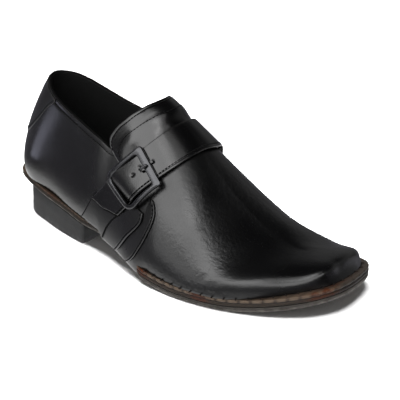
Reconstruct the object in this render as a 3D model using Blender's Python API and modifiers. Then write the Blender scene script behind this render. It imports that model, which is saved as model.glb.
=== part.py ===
"""Right-foot buckle shoe: an upper, a flap and a strap shaped by one last, on a stitched sole with a heel.

Tables and sizes are in millimetres. X runs from the heel to the toe, the outer (lateral) side is -Y, Z is up.
"""

from collections import namedtuple

import bmesh
import bpy
import numpy as np

MM = 0.001
GAP = 0.3
BOX_CENTRE_X = 148.15
BOX_CENTRE_Y = -5.033

# Sole: the height of its underside along the shoe, and its layers.
BREAST_X = 80.0
BREAST_Z = 17.0
BREAST_SLOPE = 0.15
SEAT_Z = 23.2
TREAD_START_X = 200.0
TREAD_END_X = 225.0
TOE_TIP_X = 296.3
TOE_SPRING = 11.8
TOE_SPRING_POWER = 1.6
OUTSOLE_THICK = 3.6
WELT_THICK_FORE = 5.4
WELT_THICK_HEEL = 3.3
WELT_GROOVE_DEPTH = 0.9
WELT_GROOVE_HALF = 0.45
WELT_BEVEL = 0.4
INSOLE_THICK = 2.4
INSOLE_INSET = 3.4
HEEL_FLARE = 0.8

# Upper: leather, and how far it wraps down over the sole edge at the waist.
UPPER_THICK = 2.0
WRAP_START_X = 104.0
WRAP_END_X = 150.0
WRAP_RAMP = 7.0
WRAP_CLEAR = 1.0

# Pieces that lie on the upper.
FLAP_THICK = 1.5
FACING_THICK = 1.2
HEEL_TAB_THICK = 0.7
STRAP_THICK = 1.8
FRAME_THICK = 2.2
FRAME_GAP = 0.6
FRAME_CROWN = 0.7
PRONG_RADIUS = 1.0

UPPER_COLUMNS = 84
UPPER_ROWS = 11
OUTLINE_POINTS = 72

Section = namedtuple(
    "Section",
    "name spine_x spine_y top_z edge_x edge_y wall_out wall_up crown_out crown_drop fullness collar",
)
LATERAL = [
    Section("heel_back", 46, 2, 130, 4, 3.5, 5.5, 24, 14, 0, 1.0, 0.644),
    Section("heel_turn", 46, 2, 130, 13, -16, 6, 24, 14, 0, 1.0, 0.630),
    Section("heel_side", 52, 1, 130, 41, -25.5, 7, 26, 15, 0, 1.0, 0.573),
    Section("seat", 76, -1, 130, 70, -33, 6, 26, 16, 0, 1.0, 0.525),
    Section("waist", 102, -3, 128, 100, -39, 6, 30, 20, 0, 1.0, 0.500),
    Section("instep", 126, -4, 119, 128, -45, 6, 30, 24, 0, 1.0, 0.575),
    Section("throat", 149, -4, 106, 152, -53.5, 5, 26, 28, 0, 1.0, 0.900),
    Section("joint", 176, -4, 86, 180, -58.5, 3, 22, 30, 0, 1.0, 1.400),
    Section("ball", 204, -2, 60, 212, -58.5, 2, 17, 32, 0, 1.1, 1.600),
    Section("fore", 232, 2, 44, 245, -47.5, 1, 14, 34, 0, 1.4, 1.600),
    Section("toe_side", 254, 5, 38, 268, -29, 0, 12, 27, 1.0, 2.0, 1.600),
    Section("toe_corner", 266, 7, 36.5, 281.5, -12.5, -1, 11, 19, 3.5, 2.5, 1.600),
    Section("toe_front", 268, 8, 36, 285, 8, -1, 10, 12, 2.5, 2.0, 1.600),
]
MEDIAL = [
    LATERAL[0],
    Section("heel_turn", 46, 2, 130, 14, 22, 5.5, 24, 13, 0, 1.0, 0.634),
    Section("heel_side", 52, 1, 130, 41, 29.5, 5.5, 26, 13, 0, 1.0, 0.606),
    Section("seat", 76, -1, 130, 70, 29, 6, 28, 16, 0, 1.0, 0.550),
    Section("waist", 102, -3, 128, 100, 25, 8, 34, 20, 0, 1.0, 0.522),
    Section("instep", 126, -4, 119, 128, 26.5, 8, 34, 24, 0, 1.0, 0.600),
    Section("throat", 149, -4, 106, 152, 32, 7, 28, 28, 0, 1.0, 0.900),
    Section("joint", 176, -4, 86, 180, 40, 5, 22, 30, 0, 1.0, 1.400),
    Section("ball", 204, -2, 60, 212, 46, 2, 17, 32, 0, 1.1, 1.600),
    Section("fore", 232, 2, 44, 245, 46.5, 1, 14, 30, 0, 1.4, 1.600),
    Section("toe_side", 254, 5, 38, 271, 44, 0, 12, 25.5, 1.0, 2.0, 1.600),
    Section("toe_corner", 266, 7, 36.5, 283.5, 36, -1, 11, 21, 3.5, 2.5, 1.600),
    LATERAL[-1],
]

Outline = namedtuple("Outline", "name lateral_x lateral_y medial_x medial_y")
SOLE = [
    Outline("heel_back", 0, 3.5, 0, 3.5),
    Outline("back_turn", 3, -8.5, 3, 15),
    Outline("back_side", 13, -17, 13, 24),
    Outline("seat_back", 28, -23.5, 28, 29.5),
    Outline("seat", 48, -29.5, 48, 31.8),
    Outline("seat_front", 72, -34.5, 72, 31),
    Outline("breast", 92, -37.8, 92, 28),
    Outline("waist_in", 104, -36.8, 104, 21.8),
    Outline("waist", 124, -40.8, 124, 23),
    Outline("waist_out", 143, -46.6, 143, 26.4),
    Outline("joint_in", 151, -50.0, 151, 28.6),
    Outline("joint", 160.5, -57, 161.5, 36.4),
    Outline("joint_out", 172, -59.4, 174, 41.6),
    Outline("ball", 196, -60.2, 200, 48),
    Outline("tread", 222, -56.5, 226, 50),
    Outline("fore", 246, -48.6, 252, 50),
    Outline("toe_side", 269, -36.5, 274, 46.5),
    Outline("toe_turn", 285, -23, 288, 37.5),
    Outline("toe_corner", 293.2, -11, 294, 24),
    Outline("toe_front", 296.3, 6, 296.3, 6),
]
HEEL = [
    Outline("back", 11, 2, 11, 2),
    Outline("back_turn", 13.5, -8.5, 13.5, 12.5),
    Outline("back_side", 20, -15.5, 20, 20),
    Outline("side", 38, -23.5, 38, 27),
    Outline("front", 66, -31, 66, 28.5),
    Outline("corner_in", 83, -35, 83, 27.5),
    Outline("corner", 87, -33.2, 87, 25.7),
    Outline("breast_in", 88.5, -28, 88.5, 20.5),
    Outline("breast", 89.5, -15, 89.5, 8),
    Outline("breast_mid", 90, -3.5, 90, -3.5),
]

# Bands across the last. Girth goes from 0 at the lateral sole edge, over 1 at the ridge, to 2 at the medial sole edge.
# Where front_rise is set, the front edge lies that much higher in girth than the rear edge.
Band = namedtuple("Band", "girth rear_x front_x lift front_rise", defaults=(0.0,))
STRAP = [
    Band(0.230, 103.1, 128.9, 0.30, 0.056),
    Band(0.300, 108.8, 134.8, 0.30, 0.036),
    Band(0.390, 117.0, 142.4, 0.80, 0.010),
    Band(0.450, 123.3, 147.6, 1.80),
    Band(0.500, 128.0, 151.6, 2.10),
    Band(0.620, 138.6, 160.6, 2.10),
    Band(0.750, 146.8, 167.8, 2.10),
    Band(0.860, 151.3, 171.8, 2.10),
    Band(1.000, 154.2, 174.4, 2.10),
    Band(1.150, 151.6, 173.6, 2.10),
    Band(1.300, 145.0, 168.0, 2.20),
    Band(1.450, 137.5, 161.5, 2.25),
    Band(1.530, 133.4, 157.8, 2.20),
    Band(1.600, 129.9, 154.6, 0.80),
    Band(1.750, 123.0, 147.6, 0.30),
    Band(1.960, 116.5, 140.5, 0.30),
]
FLAP = [
    Band(0.480, 128.0, 145.0, 0.3),
    Band(0.495, 119.5, 147.5, 0.3),
    Band(0.515, 113.6, 150.0, 0.3),
    Band(0.545, 111.0, 152.6, 0.3),
    Band(0.600, 112.6, 156.8, 0.3),
    Band(0.710, 120.6, 163.3, 0.3),
    Band(0.830, 128.4, 168.2, 0.3),
    Band(1.000, 134.6, 172.0, 0.3),
    Band(1.170, 129.0, 170.2, 0.3),
    Band(1.290, 121.6, 166.0, 0.3),
    Band(1.400, 113.6, 161.4, 0.3),
    Band(1.455, 112.0, 158.6, 0.3),
    Band(1.485, 114.6, 157.0, 0.3),
    Band(1.505, 120.5, 155.6, 0.3),
    Band(1.520, 129.0, 154.5, 0.3),
]
STRAP_BASE = [
    Band(0.020, 112.0, 126.6, 0.3),
    Band(0.060, 113.8, 129.8, 0.3),
    Band(0.120, 116.8, 134.4, 0.3),
    Band(0.210, 123.8, 141.6, 0.3),
    Band(0.265, 129.8, 147.2, 0.3),
    Band(0.300, 134.0, 150.8, 0.3),
    Band(0.345, 139.2, 153.8, 0.3),
    Band(0.385, 143.6, 153.8, 0.3),
]
FACING = [
    Band(0.020, 127.6, 140.0, 0.3),
    Band(0.060, 130.8, 144.2, 0.3),
    Band(0.120, 135.4, 149.8, 0.3),
    Band(0.210, 142.6, 157.0, 0.3),
    Band(0.265, 148.2, 160.2, 0.3),
    Band(0.345, 154.8, 163.4, 0.3),
    Band(0.400, 155.2, 164.4, 0.3),
    Band(0.445, 156.0, 163.6, 0.3),
    Band(0.485, 157.0, 160.2, 0.3),
]
HeelTab = namedtuple("HeelTab", "station lateral_low medial_low")
HEEL_TAB = [
    HeelTab(0.000, 0.290, 0.290),
    HeelTab(0.040, 0.300, 0.300),
    HeelTab(0.074, 0.325, 0.325),
    HeelTab(0.110, 0.415, 0.420),
    HeelTab(0.140, 0.510, 0.530),
    HeelTab(0.158, 0.548, 0.580),
]
HEEL_TAB_TOP_MARGIN = 0.012

# Buckle: measured along the strap (girth) and across it (1 is the strap's own width).
FRAME_GIRTH_REAR = 0.372
FRAME_GIRTH_FRONT = 0.634
FRAME_LENGTH = 36.0
FRAME_SKEW_REAR = 0.034
FRAME_SKEW_FRONT = 0.043
FRAME_WIDTH = 31.5
FRAME_REAR_RADIUS = 6.0
FRAME_FRONT_RADIUS = 2.2
FRAME_REAR_BAR = 3.4
FRAME_FRONT_BAR = 6.0
FRAME_SIDE_BAR = 3.2
WINDOW_RADIUS = 2.4
CORNER_POINTS = 4
SIDE_POINTS = 6
STRAP_WIDTH = 25.0
PRONG_GIRTH_START = 0.563
PRONG_GIRTH_END = 0.622
PRONG_ACROSS = 0.05


def remove_startup_objects():
    for obj in list(bpy.data.objects):
        bpy.data.objects.remove(obj, do_unlink=True)


def periodic_spline(knots, values, period):
    """Smooth closed curve through rows of values, one row at each knot."""
    knots = np.asarray(knots, float)
    values = np.asarray(values, float)
    count = len(knots)
    spans = np.diff(np.append(knots, knots[0] + period))
    matrix = np.zeros((count, count))
    right = np.zeros_like(values)
    for i in range(count):
        after = (i + 1) % count
        matrix[i, i - 1] += spans[i - 1]
        matrix[i, i] += 2 * (spans[i - 1] + spans[i])
        matrix[i, after] += spans[i]
        right[i] = 6 * (values[after] - values[i]) / spans[i]
        right[i] -= 6 * (values[i] - values[i - 1]) / spans[i - 1]
    bends = np.linalg.solve(matrix, right)

    def at(where):
        where = np.mod(np.asarray(where, float) - knots[0], period) + knots[0]
        i = np.clip(np.searchsorted(knots, where, side="right") - 1, 0, count - 1)
        after = (i + 1) % count
        span = spans[i][..., None]
        u = (where - knots[i])[..., None] / span
        v = 1 - u
        curve = (v**3 - v) * bends[i] + (u**3 - u) * bends[after]
        return v * values[i] + u * values[after] + curve * span * span / 6

    return at


def open_curve(table, column):
    """Smooth curve through one column of a table, read against the table's first column."""
    places = np.array([row[0] for row in table], float)
    values = np.array([getattr(row, column) for row in table], float)
    slopes = np.gradient(values, places)

    def at(where):
        where = np.clip(np.asarray(where, float), places[0], places[-1])
        i = np.clip(np.searchsorted(places, where, side="right") - 1, 0, len(places) - 2)
        span = places[i + 1] - places[i]
        u = (where - places[i]) / span
        start = (1 + 2 * u) * (1 - u) ** 2 * values[i] + u * (1 - u) ** 2 * span * slopes[i]
        end = u * u * (3 - 2 * u) * values[i + 1] + u * u * (u - 1) * span * slopes[i + 1]
        return start + end

    return at


def two_sided_loop(lateral, medial, edge):
    """Closed curve through the lateral rows from the heel to the toe (0 to 1) and the medial rows back (1 to 2)."""
    lateral = np.asarray(lateral, float)
    medial = np.asarray(medial, float)
    lateral_steps = np.linalg.norm(np.diff(lateral[:, edge], axis=0), axis=1)
    medial_steps = np.linalg.norm(np.diff(medial[:, edge], axis=0), axis=1)
    station = np.concatenate([[0], np.cumsum(lateral_steps + medial_steps)])
    station /= station[-1]
    knots = np.concatenate([station, 2 - station[-2:0:-1]])
    values = np.concatenate([lateral, medial[-2:0:-1]])
    return station, periodic_spline(knots, values, 2.0)


def smooth_step(value):
    value = np.clip(value, 0, 1)
    return value * value * (3 - 2 * value)


def underside_z(x):
    """Height of the outsole's underside: heel seat, arch, flat tread and toe spring."""
    x = np.asarray(x, float)
    back = np.maximum(BREAST_X - x, 0)
    sag = (BREAST_Z + BREAST_SLOPE * BREAST_X - SEAT_Z) / BREAST_X**2
    seat = BREAST_Z + BREAST_SLOPE * back - sag * back**2
    arch_length = TREAD_START_X - BREAST_X
    u = np.clip((x - BREAST_X) / arch_length, 0, 1)
    arch = BREAST_Z * (2 * u**3 - 3 * u**2 + 1) - BREAST_SLOPE * arch_length * u * (1 - u) ** 2
    toe = np.maximum(x - TREAD_END_X, 0) / (TOE_TIP_X - TREAD_END_X)
    return np.where(x < BREAST_X, seat, arch) + TOE_SPRING * toe**TOE_SPRING_POWER


def welt_low_z(x):
    return underside_z(x) + OUTSOLE_THICK + GAP


def welt_top_z(x):
    forward = smooth_step((np.asarray(x, float) - BREAST_X) / (TREAD_START_X - BREAST_X))
    return welt_low_z(x) + WELT_THICK_HEEL + (WELT_THICK_FORE - WELT_THICK_HEEL) * forward


def upper_edge_z(x):
    """Lower edge of the upper: on the welt, and down over the sole's edge at the waist."""
    wrap = smooth_step((x - WRAP_START_X) / WRAP_RAMP) * smooth_step((WRAP_END_X - x) / WRAP_RAMP)
    on_welt = welt_top_z(x) + GAP
    return on_welt + wrap * (underside_z(x) + WRAP_CLEAR - on_welt)


STATION, LAST_ROWS = two_sided_loop(
    [row[1:] for row in LATERAL], [row[1:] for row in MEDIAL], slice(3, 5)
)


def last_point(loop, height):
    """Point of the last: loop goes round the sole edge, height goes from that edge (0) to the ridge (1)."""
    rows = np.moveaxis(LAST_ROWS(loop), -1, 0)
    spine_x, spine_y, top_z, edge_x, edge_y, wall_out, wall_up, crown_out, crown_drop, fullness, _ = rows
    reach = np.hypot(edge_x - spine_x, edge_y - spine_y)
    edge_z = upper_edge_z(edge_x)
    low = (1 - height) ** 3
    wall = 3 * height * (1 - height) ** 2 * fullness
    crown = 3 * height**2 * (1 - height) * fullness
    top = height**3
    total = low + wall + crown + top
    out = (low * reach + wall * (reach + wall_out) + crown * crown_out) / total
    z = (low * edge_z + wall * (edge_z + wall_up) + crown * (top_z - crown_drop) + top * top_z) / total
    x = spine_x + (edge_x - spine_x) / reach * out
    y = spine_y + (edge_y - spine_y) / reach * out
    return np.stack([x, y, z], axis=-1)


def collar_height(loop):
    return np.minimum(LAST_ROWS(loop)[..., -1], 1.0)


def form_point(station, girth):
    """Point of the last at a station from heel (0) to toe (1), and a girth from lateral (0) to medial (2) edge."""
    medial = girth > 1
    return last_point(np.where(medial, 2 - station, station), np.where(medial, 2 - girth, girth))


def form_offset(station, girth, lift):
    """Point that far outside the last."""
    step = 1e-3
    along = form_point(station + step, girth) - form_point(station - step, girth)
    around = form_point(station, np.minimum(girth + step, 2)) - form_point(station, np.maximum(girth - step, 0))
    normal = np.cross(along, around)
    normal /= np.linalg.norm(normal, axis=-1, keepdims=True)
    return form_point(station, girth) + normal * np.asarray(lift)[..., None]


def station_at(spine_x):
    """Station whose ridge point is at that distance from the heel (in front of the heel seat only)."""
    stations = np.linspace(STATION[2], 1.0, 400)
    return np.interp(spine_x, LAST_ROWS(stations)[:, 0], stations)


def new_material(name, colour, roughness, metallic=0.0):
    material = bpy.data.materials.new(name)
    material.use_nodes = True
    shader = material.node_tree.nodes["Principled BSDF"]
    shader.inputs["Base Color"].default_value = (*colour, 1.0)
    shader.inputs["Roughness"].default_value = roughness
    shader.inputs["Metallic"].default_value = metallic
    return material


def add_piece(collection, name, points, faces, material):
    """One named object from points in the tables' frame, with its faces pointing outwards."""
    points = (np.asarray(points, float) - [BOX_CENTRE_X, BOX_CENTRE_Y, 0]) * MM
    mesh = bpy.data.meshes.new(name)
    mesh.from_pydata(points.tolist(), [], faces)
    shape = bmesh.new()
    shape.from_mesh(mesh)
    bmesh.ops.remove_doubles(shape, verts=shape.verts, dist=1e-6)
    bmesh.ops.recalc_face_normals(shape, faces=shape.faces)
    shape.to_mesh(mesh)
    shape.free()
    mesh.materials.append(material)
    obj = bpy.data.objects.new(name, mesh)
    collection.objects.link(obj)
    return obj


def grid_faces(rows, columns, start=0, wrap_rows=False):
    faces = []
    for i in range(rows if wrap_rows else rows - 1):
        after = (i + 1) % rows
        for j in range(columns - 1):
            a = start + i * columns + j
            b = start + after * columns + j
            faces.append((a, b, b + 1, a + 1))
    return faces


def add_slab(collection, name, low, high, material):
    """Closed piece between two grids of points with the same rows and columns."""
    rows, columns = low.shape[:2]
    count = rows * columns
    points = np.concatenate([high.reshape(-1, 3), low.reshape(-1, 3)])
    faces = grid_faces(rows, columns)
    faces += [face[::-1] for face in grid_faces(rows, columns, count)]
    index = np.arange(count).reshape(rows, columns)
    rim = np.concatenate([index[0, :-1], index[:-1, -1], index[-1, :0:-1], index[:0:-1, 0]])
    for a, b in zip(rim, np.roll(rim, -1)):
        faces.append((int(a), int(b), int(b) + count, int(a) + count))
    return add_piece(collection, name, points, faces, material)


def add_plate(collection, name, loop, levels, material):
    """Closed layer of the sole: a ring of points for each (inset, height of x) level, ladders of faces as its two caps."""
    count = len(loop)
    ahead = np.roll(loop, -1, axis=0) - np.roll(loop, 1, axis=0)
    inward = np.stack([ahead[:, 1], -ahead[:, 0]], axis=-1)
    inward /= -np.linalg.norm(inward, axis=1, keepdims=True)
    rings = []
    for inset, height in levels:
        plan = loop + inward * inset
        rings.append(np.column_stack([plan, height(plan[:, 0])]))
    faces = []
    for level in range(len(levels) - 1):
        for i in range(count):
            a = level * count + i
            b = level * count + (i + 1) % count
            faces.append((a, b, b + count, a + count))
    for cap in (0, (len(levels) - 1) * count):
        faces.append((cap, cap + 1, cap + count - 1))
        for i in range(1, count // 2 - 1):
            faces.append((cap + i, cap + i + 1, cap + count - i - 1, cap + count - i))
        faces.append((cap + count // 2 - 1, cap + count // 2, cap + count // 2 + 1))
    return add_piece(collection, name, np.concatenate(rings), faces, material)


def outline_loop(table, points):
    """Closed outline in plan: lateral side from back to front, then the medial side to the back."""
    lateral = [(row.lateral_x, row.lateral_y) for row in table]
    medial = [(row.medial_x, row.medial_y) for row in table]
    _, curve = two_sided_loop(lateral, medial, slice(0, 2))
    return curve(np.arange(points) * 2.0 / points)


def add_sole(collection):
    loop = outline_loop(SOLE, OUTLINE_POINTS)

    def outsole_top(x):
        return underside_z(x) + OUTSOLE_THICK

    def welt_groove(x):
        return (welt_low_z(x) + welt_top_z(x)) / 2

    rubber = new_material("outsole_rubber", (0.16, 0.14, 0.12), 0.7)
    levels = [
        (0.6, underside_z),
        (0.2, lambda x: underside_z(x) + WELT_BEVEL),
        (0.2, outsole_top),
    ]
    add_plate(collection, "outsole", loop, levels, rubber)

    brown = new_material("welt_leather", (0.30, 0.20, 0.13), 0.6)
    levels = [
        (0.0, welt_low_z),
        (0.0, lambda x: welt_groove(x) - WELT_GROOVE_HALF),
        (WELT_GROOVE_DEPTH, welt_groove),
        (0.0, lambda x: welt_groove(x) + WELT_GROOVE_HALF),
        (0.0, lambda x: welt_top_z(x) - WELT_BEVEL),
        (WELT_BEVEL, welt_top_z),
    ]
    add_plate(collection, "welt", loop, levels, brown)

    block = new_material("heel_rubber", (0.045, 0.045, 0.045), 0.65)
    heel_loop = outline_loop(HEEL, OUTLINE_POINTS // 2 + 12)
    levels = [
        (HEEL_FLARE + 0.6, lambda x: 0 * x),
        (HEEL_FLARE, lambda x: 0 * x + 0.8),
        (0.0, lambda x: underside_z(x) - GAP),
    ]
    add_plate(collection, "heel", heel_loop, levels, block)

    lining = new_material("insole_lining", (0.05, 0.045, 0.04), 0.8)
    edge = LAST_ROWS(np.arange(OUTLINE_POINTS) * 2.0 / OUTLINE_POINTS)[:, 3:5]
    levels = [
        (INSOLE_INSET, lambda x: welt_top_z(x) + GAP),
        (INSOLE_INSET, lambda x: welt_top_z(x) + GAP + INSOLE_THICK),
    ]
    add_plate(collection, "insole", edge, levels, lining)


def add_upper(collection):
    """Open surface of the last up to the collar, given its leather thickness inwards."""
    loop = np.arange(UPPER_COLUMNS) * 2.0 / UPPER_COLUMNS
    share = np.linspace(0, 1, UPPER_ROWS)
    loops = np.repeat(loop[:, None], UPPER_ROWS, axis=1)
    points = last_point(loops, collar_height(loop)[:, None] * share[None, :])
    faces = grid_faces(UPPER_COLUMNS, UPPER_ROWS, wrap_rows=True)
    leather = new_material("upper_leather", (0.012, 0.012, 0.013), 0.3)
    upper = add_piece(collection, "upper", points.reshape(-1, 3), faces, leather)
    wall = upper.modifiers.new("leather", "SOLIDIFY")
    wall.thickness = UPPER_THICK * MM
    wall.offset = -1.0
    wall.use_even_offset = True
    wall.use_rim = True
    return upper


def add_band(collection, name, table, thickness, material, along, across):
    """Band on the last between its rear and front edges, from one end of its table to the other."""
    girth = np.linspace(table[0].girth, table[-1].girth, along)
    rear = open_curve(table, "rear_x")(girth)
    front = open_curve(table, "front_x")(girth)
    lift = open_curve(table, "lift")(girth)
    share = np.linspace(0, 1, across)
    station = station_at(rear[:, None] + (front - rear)[:, None] * share)
    rise = open_curve(table, "front_rise")(girth)
    girths = girth[:, None] + rise[:, None] * (share - 0.5)
    lifts = np.repeat(lift[:, None], across, axis=1)
    low = form_offset(station, girths, lifts)
    high = form_offset(station, girths, lifts + thickness)
    return add_slab(collection, name, low, high, material)


def add_heel_tab(collection, material):
    """Reinforcement round the back of the collar, from its own lower edge to just under the collar."""
    reach = HEEL_TAB[-1].station
    side = np.linspace(-reach, reach, 25)
    low_edge = np.where(
        side < 0,
        open_curve(HEEL_TAB, "medial_low")(-side),
        open_curve(HEEL_TAB, "lateral_low")(side),
    )
    top_edge = collar_height(side) - HEEL_TAB_TOP_MARGIN
    share = np.linspace(0, 1, 6)
    heights = low_edge[:, None] + (top_edge - low_edge)[:, None] * share
    stations = np.repeat(side[:, None], len(share), axis=1)
    low = form_offset(stations, heights, GAP + 0 * heights)
    high = form_offset(stations, heights, GAP + HEEL_TAB_THICK + 0 * heights)
    return add_slab(collection, "heel_tab", low, high, material)


def rounded_rectangle(length_start, length_end, half_width, start_radius, end_radius):
    """Closed outline with matching points at each corner and side, so that two of them match point for point."""
    turns = np.linspace(0, np.pi / 2, CORNER_POINTS)
    corners = (
        (length_end - end_radius, half_width - end_radius, end_radius, 0.0),
        (length_start + start_radius, half_width - start_radius, start_radius, np.pi / 2),
        (length_start + start_radius, start_radius - half_width, start_radius, np.pi),
        (length_end - end_radius, end_radius - half_width, end_radius, 1.5 * np.pi),
    )
    arcs = []
    for along, across, radius, first in corners:
        x = along + radius * np.cos(first + turns)
        y = across + radius * np.sin(first + turns)
        arcs.append(np.stack([x, y], axis=-1))
    points = []
    for arc, following in zip(arcs, arcs[1:] + arcs[:1]):
        share = np.arange(1, SIDE_POINTS + 1)[:, None] / (SIDE_POINTS + 1)
        points.append(arc)
        points.append(arc[-1] + share * (following[0] - arc[-1]))
    return np.concatenate(points)


def on_strap(along, across, rise):
    """Point above the strap: millimetres along it from the frame's rear bar, and across it from its middle."""
    share = along / FRAME_LENGTH
    side = across / STRAP_WIDTH
    girth = FRAME_GIRTH_REAR + share * (FRAME_GIRTH_FRONT - FRAME_GIRTH_REAR)
    girth = girth - side * (FRAME_SKEW_REAR + share * (FRAME_SKEW_FRONT - FRAME_SKEW_REAR))
    rear = open_curve(STRAP, "rear_x")(girth)
    front = open_curve(STRAP, "front_x")(girth)
    station = station_at(rear + (front - rear) * (0.5 + side))
    lift = open_curve(STRAP, "lift")(girth) + STRAP_THICK + FRAME_GAP + rise
    return form_offset(station, girth, lift)


def add_buckle(collection):
    steel = new_material("buckle_steel", (0.10, 0.10, 0.11), 0.25, 1.0)
    half = FRAME_WIDTH / 2
    outer = rounded_rectangle(0, FRAME_LENGTH, half, FRAME_REAR_RADIUS, FRAME_FRONT_RADIUS)
    window_end = FRAME_LENGTH - FRAME_FRONT_BAR
    inner = rounded_rectangle(FRAME_REAR_BAR, window_end, half - FRAME_SIDE_BAR, WINDOW_RADIUS, WINDOW_RADIUS)
    middle = (outer + inner) / 2
    ring = (
        (outer, 0.0),
        (outer, FRAME_THICK - FRAME_CROWN),
        (middle, FRAME_THICK),
        (inner, FRAME_THICK - FRAME_CROWN),
        (inner, 0.0),
    )
    count = len(outer)
    points = np.concatenate([on_strap(loop[:, 0], loop[:, 1], rise) for loop, rise in ring])
    faces = []
    for level in range(len(ring)):
        after = (level + 1) % len(ring)
        for i in range(count):
            ahead = (i + 1) % count
            faces.append((level * count + i, level * count + ahead, after * count + ahead, after * count + i))
    add_piece(collection, "buckle_frame", points, faces, steel)

    pin = new_material("prong_steel", (0.10, 0.10, 0.11), 0.25, 1.0)
    girth = np.linspace(PRONG_GIRTH_START, PRONG_GIRTH_END, 9)
    along = (girth - FRAME_GIRTH_REAR) / (FRAME_GIRTH_FRONT - FRAME_GIRTH_REAR) * FRAME_LENGTH
    climb = smooth_step((along - along[0]) / (window_end - PRONG_RADIUS - along[0]))
    rise = PRONG_RADIUS + climb * (FRAME_THICK + FRAME_GAP)
    sides = np.linspace(0, 2 * np.pi, 10, endpoint=False)
    thin = np.where(girth == girth[-1], 0.5, 1.0) * PRONG_RADIUS
    rings = []
    for place, height, radius in zip(along, rise, thin):
        across = PRONG_ACROSS * STRAP_WIDTH + radius * np.cos(sides)
        rings.append(on_strap(place + 0 * sides, across, height + radius * np.sin(sides)))
    faces = []
    for level in range(len(rings) - 1):
        for i in range(len(sides)):
            a = level * len(sides) + i
            b = level * len(sides) + (i + 1) % len(sides)
            faces.append((a, b, b + len(sides), a + len(sides)))
    faces.append(tuple(range(len(sides))))
    faces.append(tuple(range((len(rings) - 1) * len(sides), len(rings) * len(sides))))
    add_piece(collection, "buckle_prong", np.concatenate(rings), faces, pin)


def build():
    remove_startup_objects()
    collection = bpy.data.collections.new("buckle_shoe")
    bpy.context.scene.collection.children.link(collection)
    add_sole(collection)
    add_upper(collection)
    black = (0.012, 0.012, 0.013)
    flap_leather = new_material("flap_leather", black, 0.3)
    add_band(collection, "tongue_flap", FLAP, FLAP_THICK, flap_leather, 33, 8)
    strap_leather = new_material("strap_leather", black, 0.3)
    add_band(collection, "strap", STRAP, STRAP_THICK, strap_leather, 61, 5)
    base_leather = new_material("strap_base_leather", black, 0.3)
    add_band(collection, "strap_base", STRAP_BASE, FACING_THICK, base_leather, 12, 4)
    facing_leather = new_material("facing_leather", black, 0.3)
    add_band(collection, "facing", FACING, FACING_THICK, facing_leather, 14, 4)
    add_heel_tab(collection, new_material("heel_tab_leather", black, 0.3))
    add_buckle(collection)


build()
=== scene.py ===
"""Looks of a black leather buckle shoe, right foot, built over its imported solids.

Tables and sizes are in millimetres in the maker's frame: X runs from the heel to the toe, the outer
(lateral) side is -Y, and Z is up. A piece's mesh is moved to the part's own frame, in metres,
when it is made.
"""

from collections import namedtuple

import bmesh
import bpy
import numpy as np
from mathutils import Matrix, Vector


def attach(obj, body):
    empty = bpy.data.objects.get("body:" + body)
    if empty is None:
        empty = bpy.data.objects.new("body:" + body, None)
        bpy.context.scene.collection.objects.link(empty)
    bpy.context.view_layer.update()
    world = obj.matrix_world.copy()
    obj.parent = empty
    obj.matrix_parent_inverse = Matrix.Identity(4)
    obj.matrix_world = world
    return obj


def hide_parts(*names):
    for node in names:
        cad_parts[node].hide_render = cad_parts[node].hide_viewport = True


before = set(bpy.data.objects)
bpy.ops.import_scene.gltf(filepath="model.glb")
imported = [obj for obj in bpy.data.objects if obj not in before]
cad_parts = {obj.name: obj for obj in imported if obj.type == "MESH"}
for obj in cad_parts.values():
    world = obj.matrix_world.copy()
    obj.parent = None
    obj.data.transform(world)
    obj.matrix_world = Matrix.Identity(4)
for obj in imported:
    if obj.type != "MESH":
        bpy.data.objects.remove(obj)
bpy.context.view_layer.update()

MM = 0.001
GAP = 0.3
BOX_CENTRE = np.array([148.15, -5.033, 0.0])
MERGE_DISTANCE = 2e-6
FORM_STEP = 1e-3

# Sole: the height of its underside along the shoe, its layers and their rounded edges.
BREAST_X = 80.0
BREAST_Z = 17.0
BREAST_SLOPE = 0.15
SEAT_Z = 23.2
TREAD_START_X = 200.0
TREAD_END_X = 225.0
TOE_TIP_X = 296.3
TOE_SPRING = 11.8
TOE_SPRING_POWER = 1.6
OUTSOLE_THICK_FORE = 3.6
OUTSOLE_THICK_HEEL = 2.4
OUTSOLE_INSET = 0.2
OUTSOLE_ROUNDING = 1.0
OUTSOLE_HEEL_SHADE = 0.8
WELT_THICK_FORE = 5.4
WELT_THICK_HEEL = 2.1
INSOLE_THICK = 2.4
INSOLE_INSET = 3.4
INSOLE_ROLL = 1.2
HEEL_FLARE = 0.2
HEEL_ROUNDING = 0.7
HEEL_TOP_INSET = 0.5
HEEL_WALL_SHARES = (0.3, 0.6, 0.97)
HEEL_WALL_RUBBED = 0.05
HEEL_EDGE_RUBBED = 0.5
HEEL_FRONT_X = 100.0
HEEL_FRONT_FADE = 10.0
EDGE_TURNS = np.linspace(0, np.pi / 2, 5)
SOLE_POINTS = 640
HEEL_POINTS = 240

# Rings of the outsole's wall above its rounded edge, and how pale each is rubbed.
WallRing = namedtuple("WallRing", "inset share drop rubbed")
OUTSOLE_WALL = [
    WallRing(0.35, 0.6, 0.0, 0.15),
    WallRing(0.20, 1.0, 0.4, 0.20),
    WallRing(0.60, 1.0, 0.0, 0.00),
]

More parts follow.
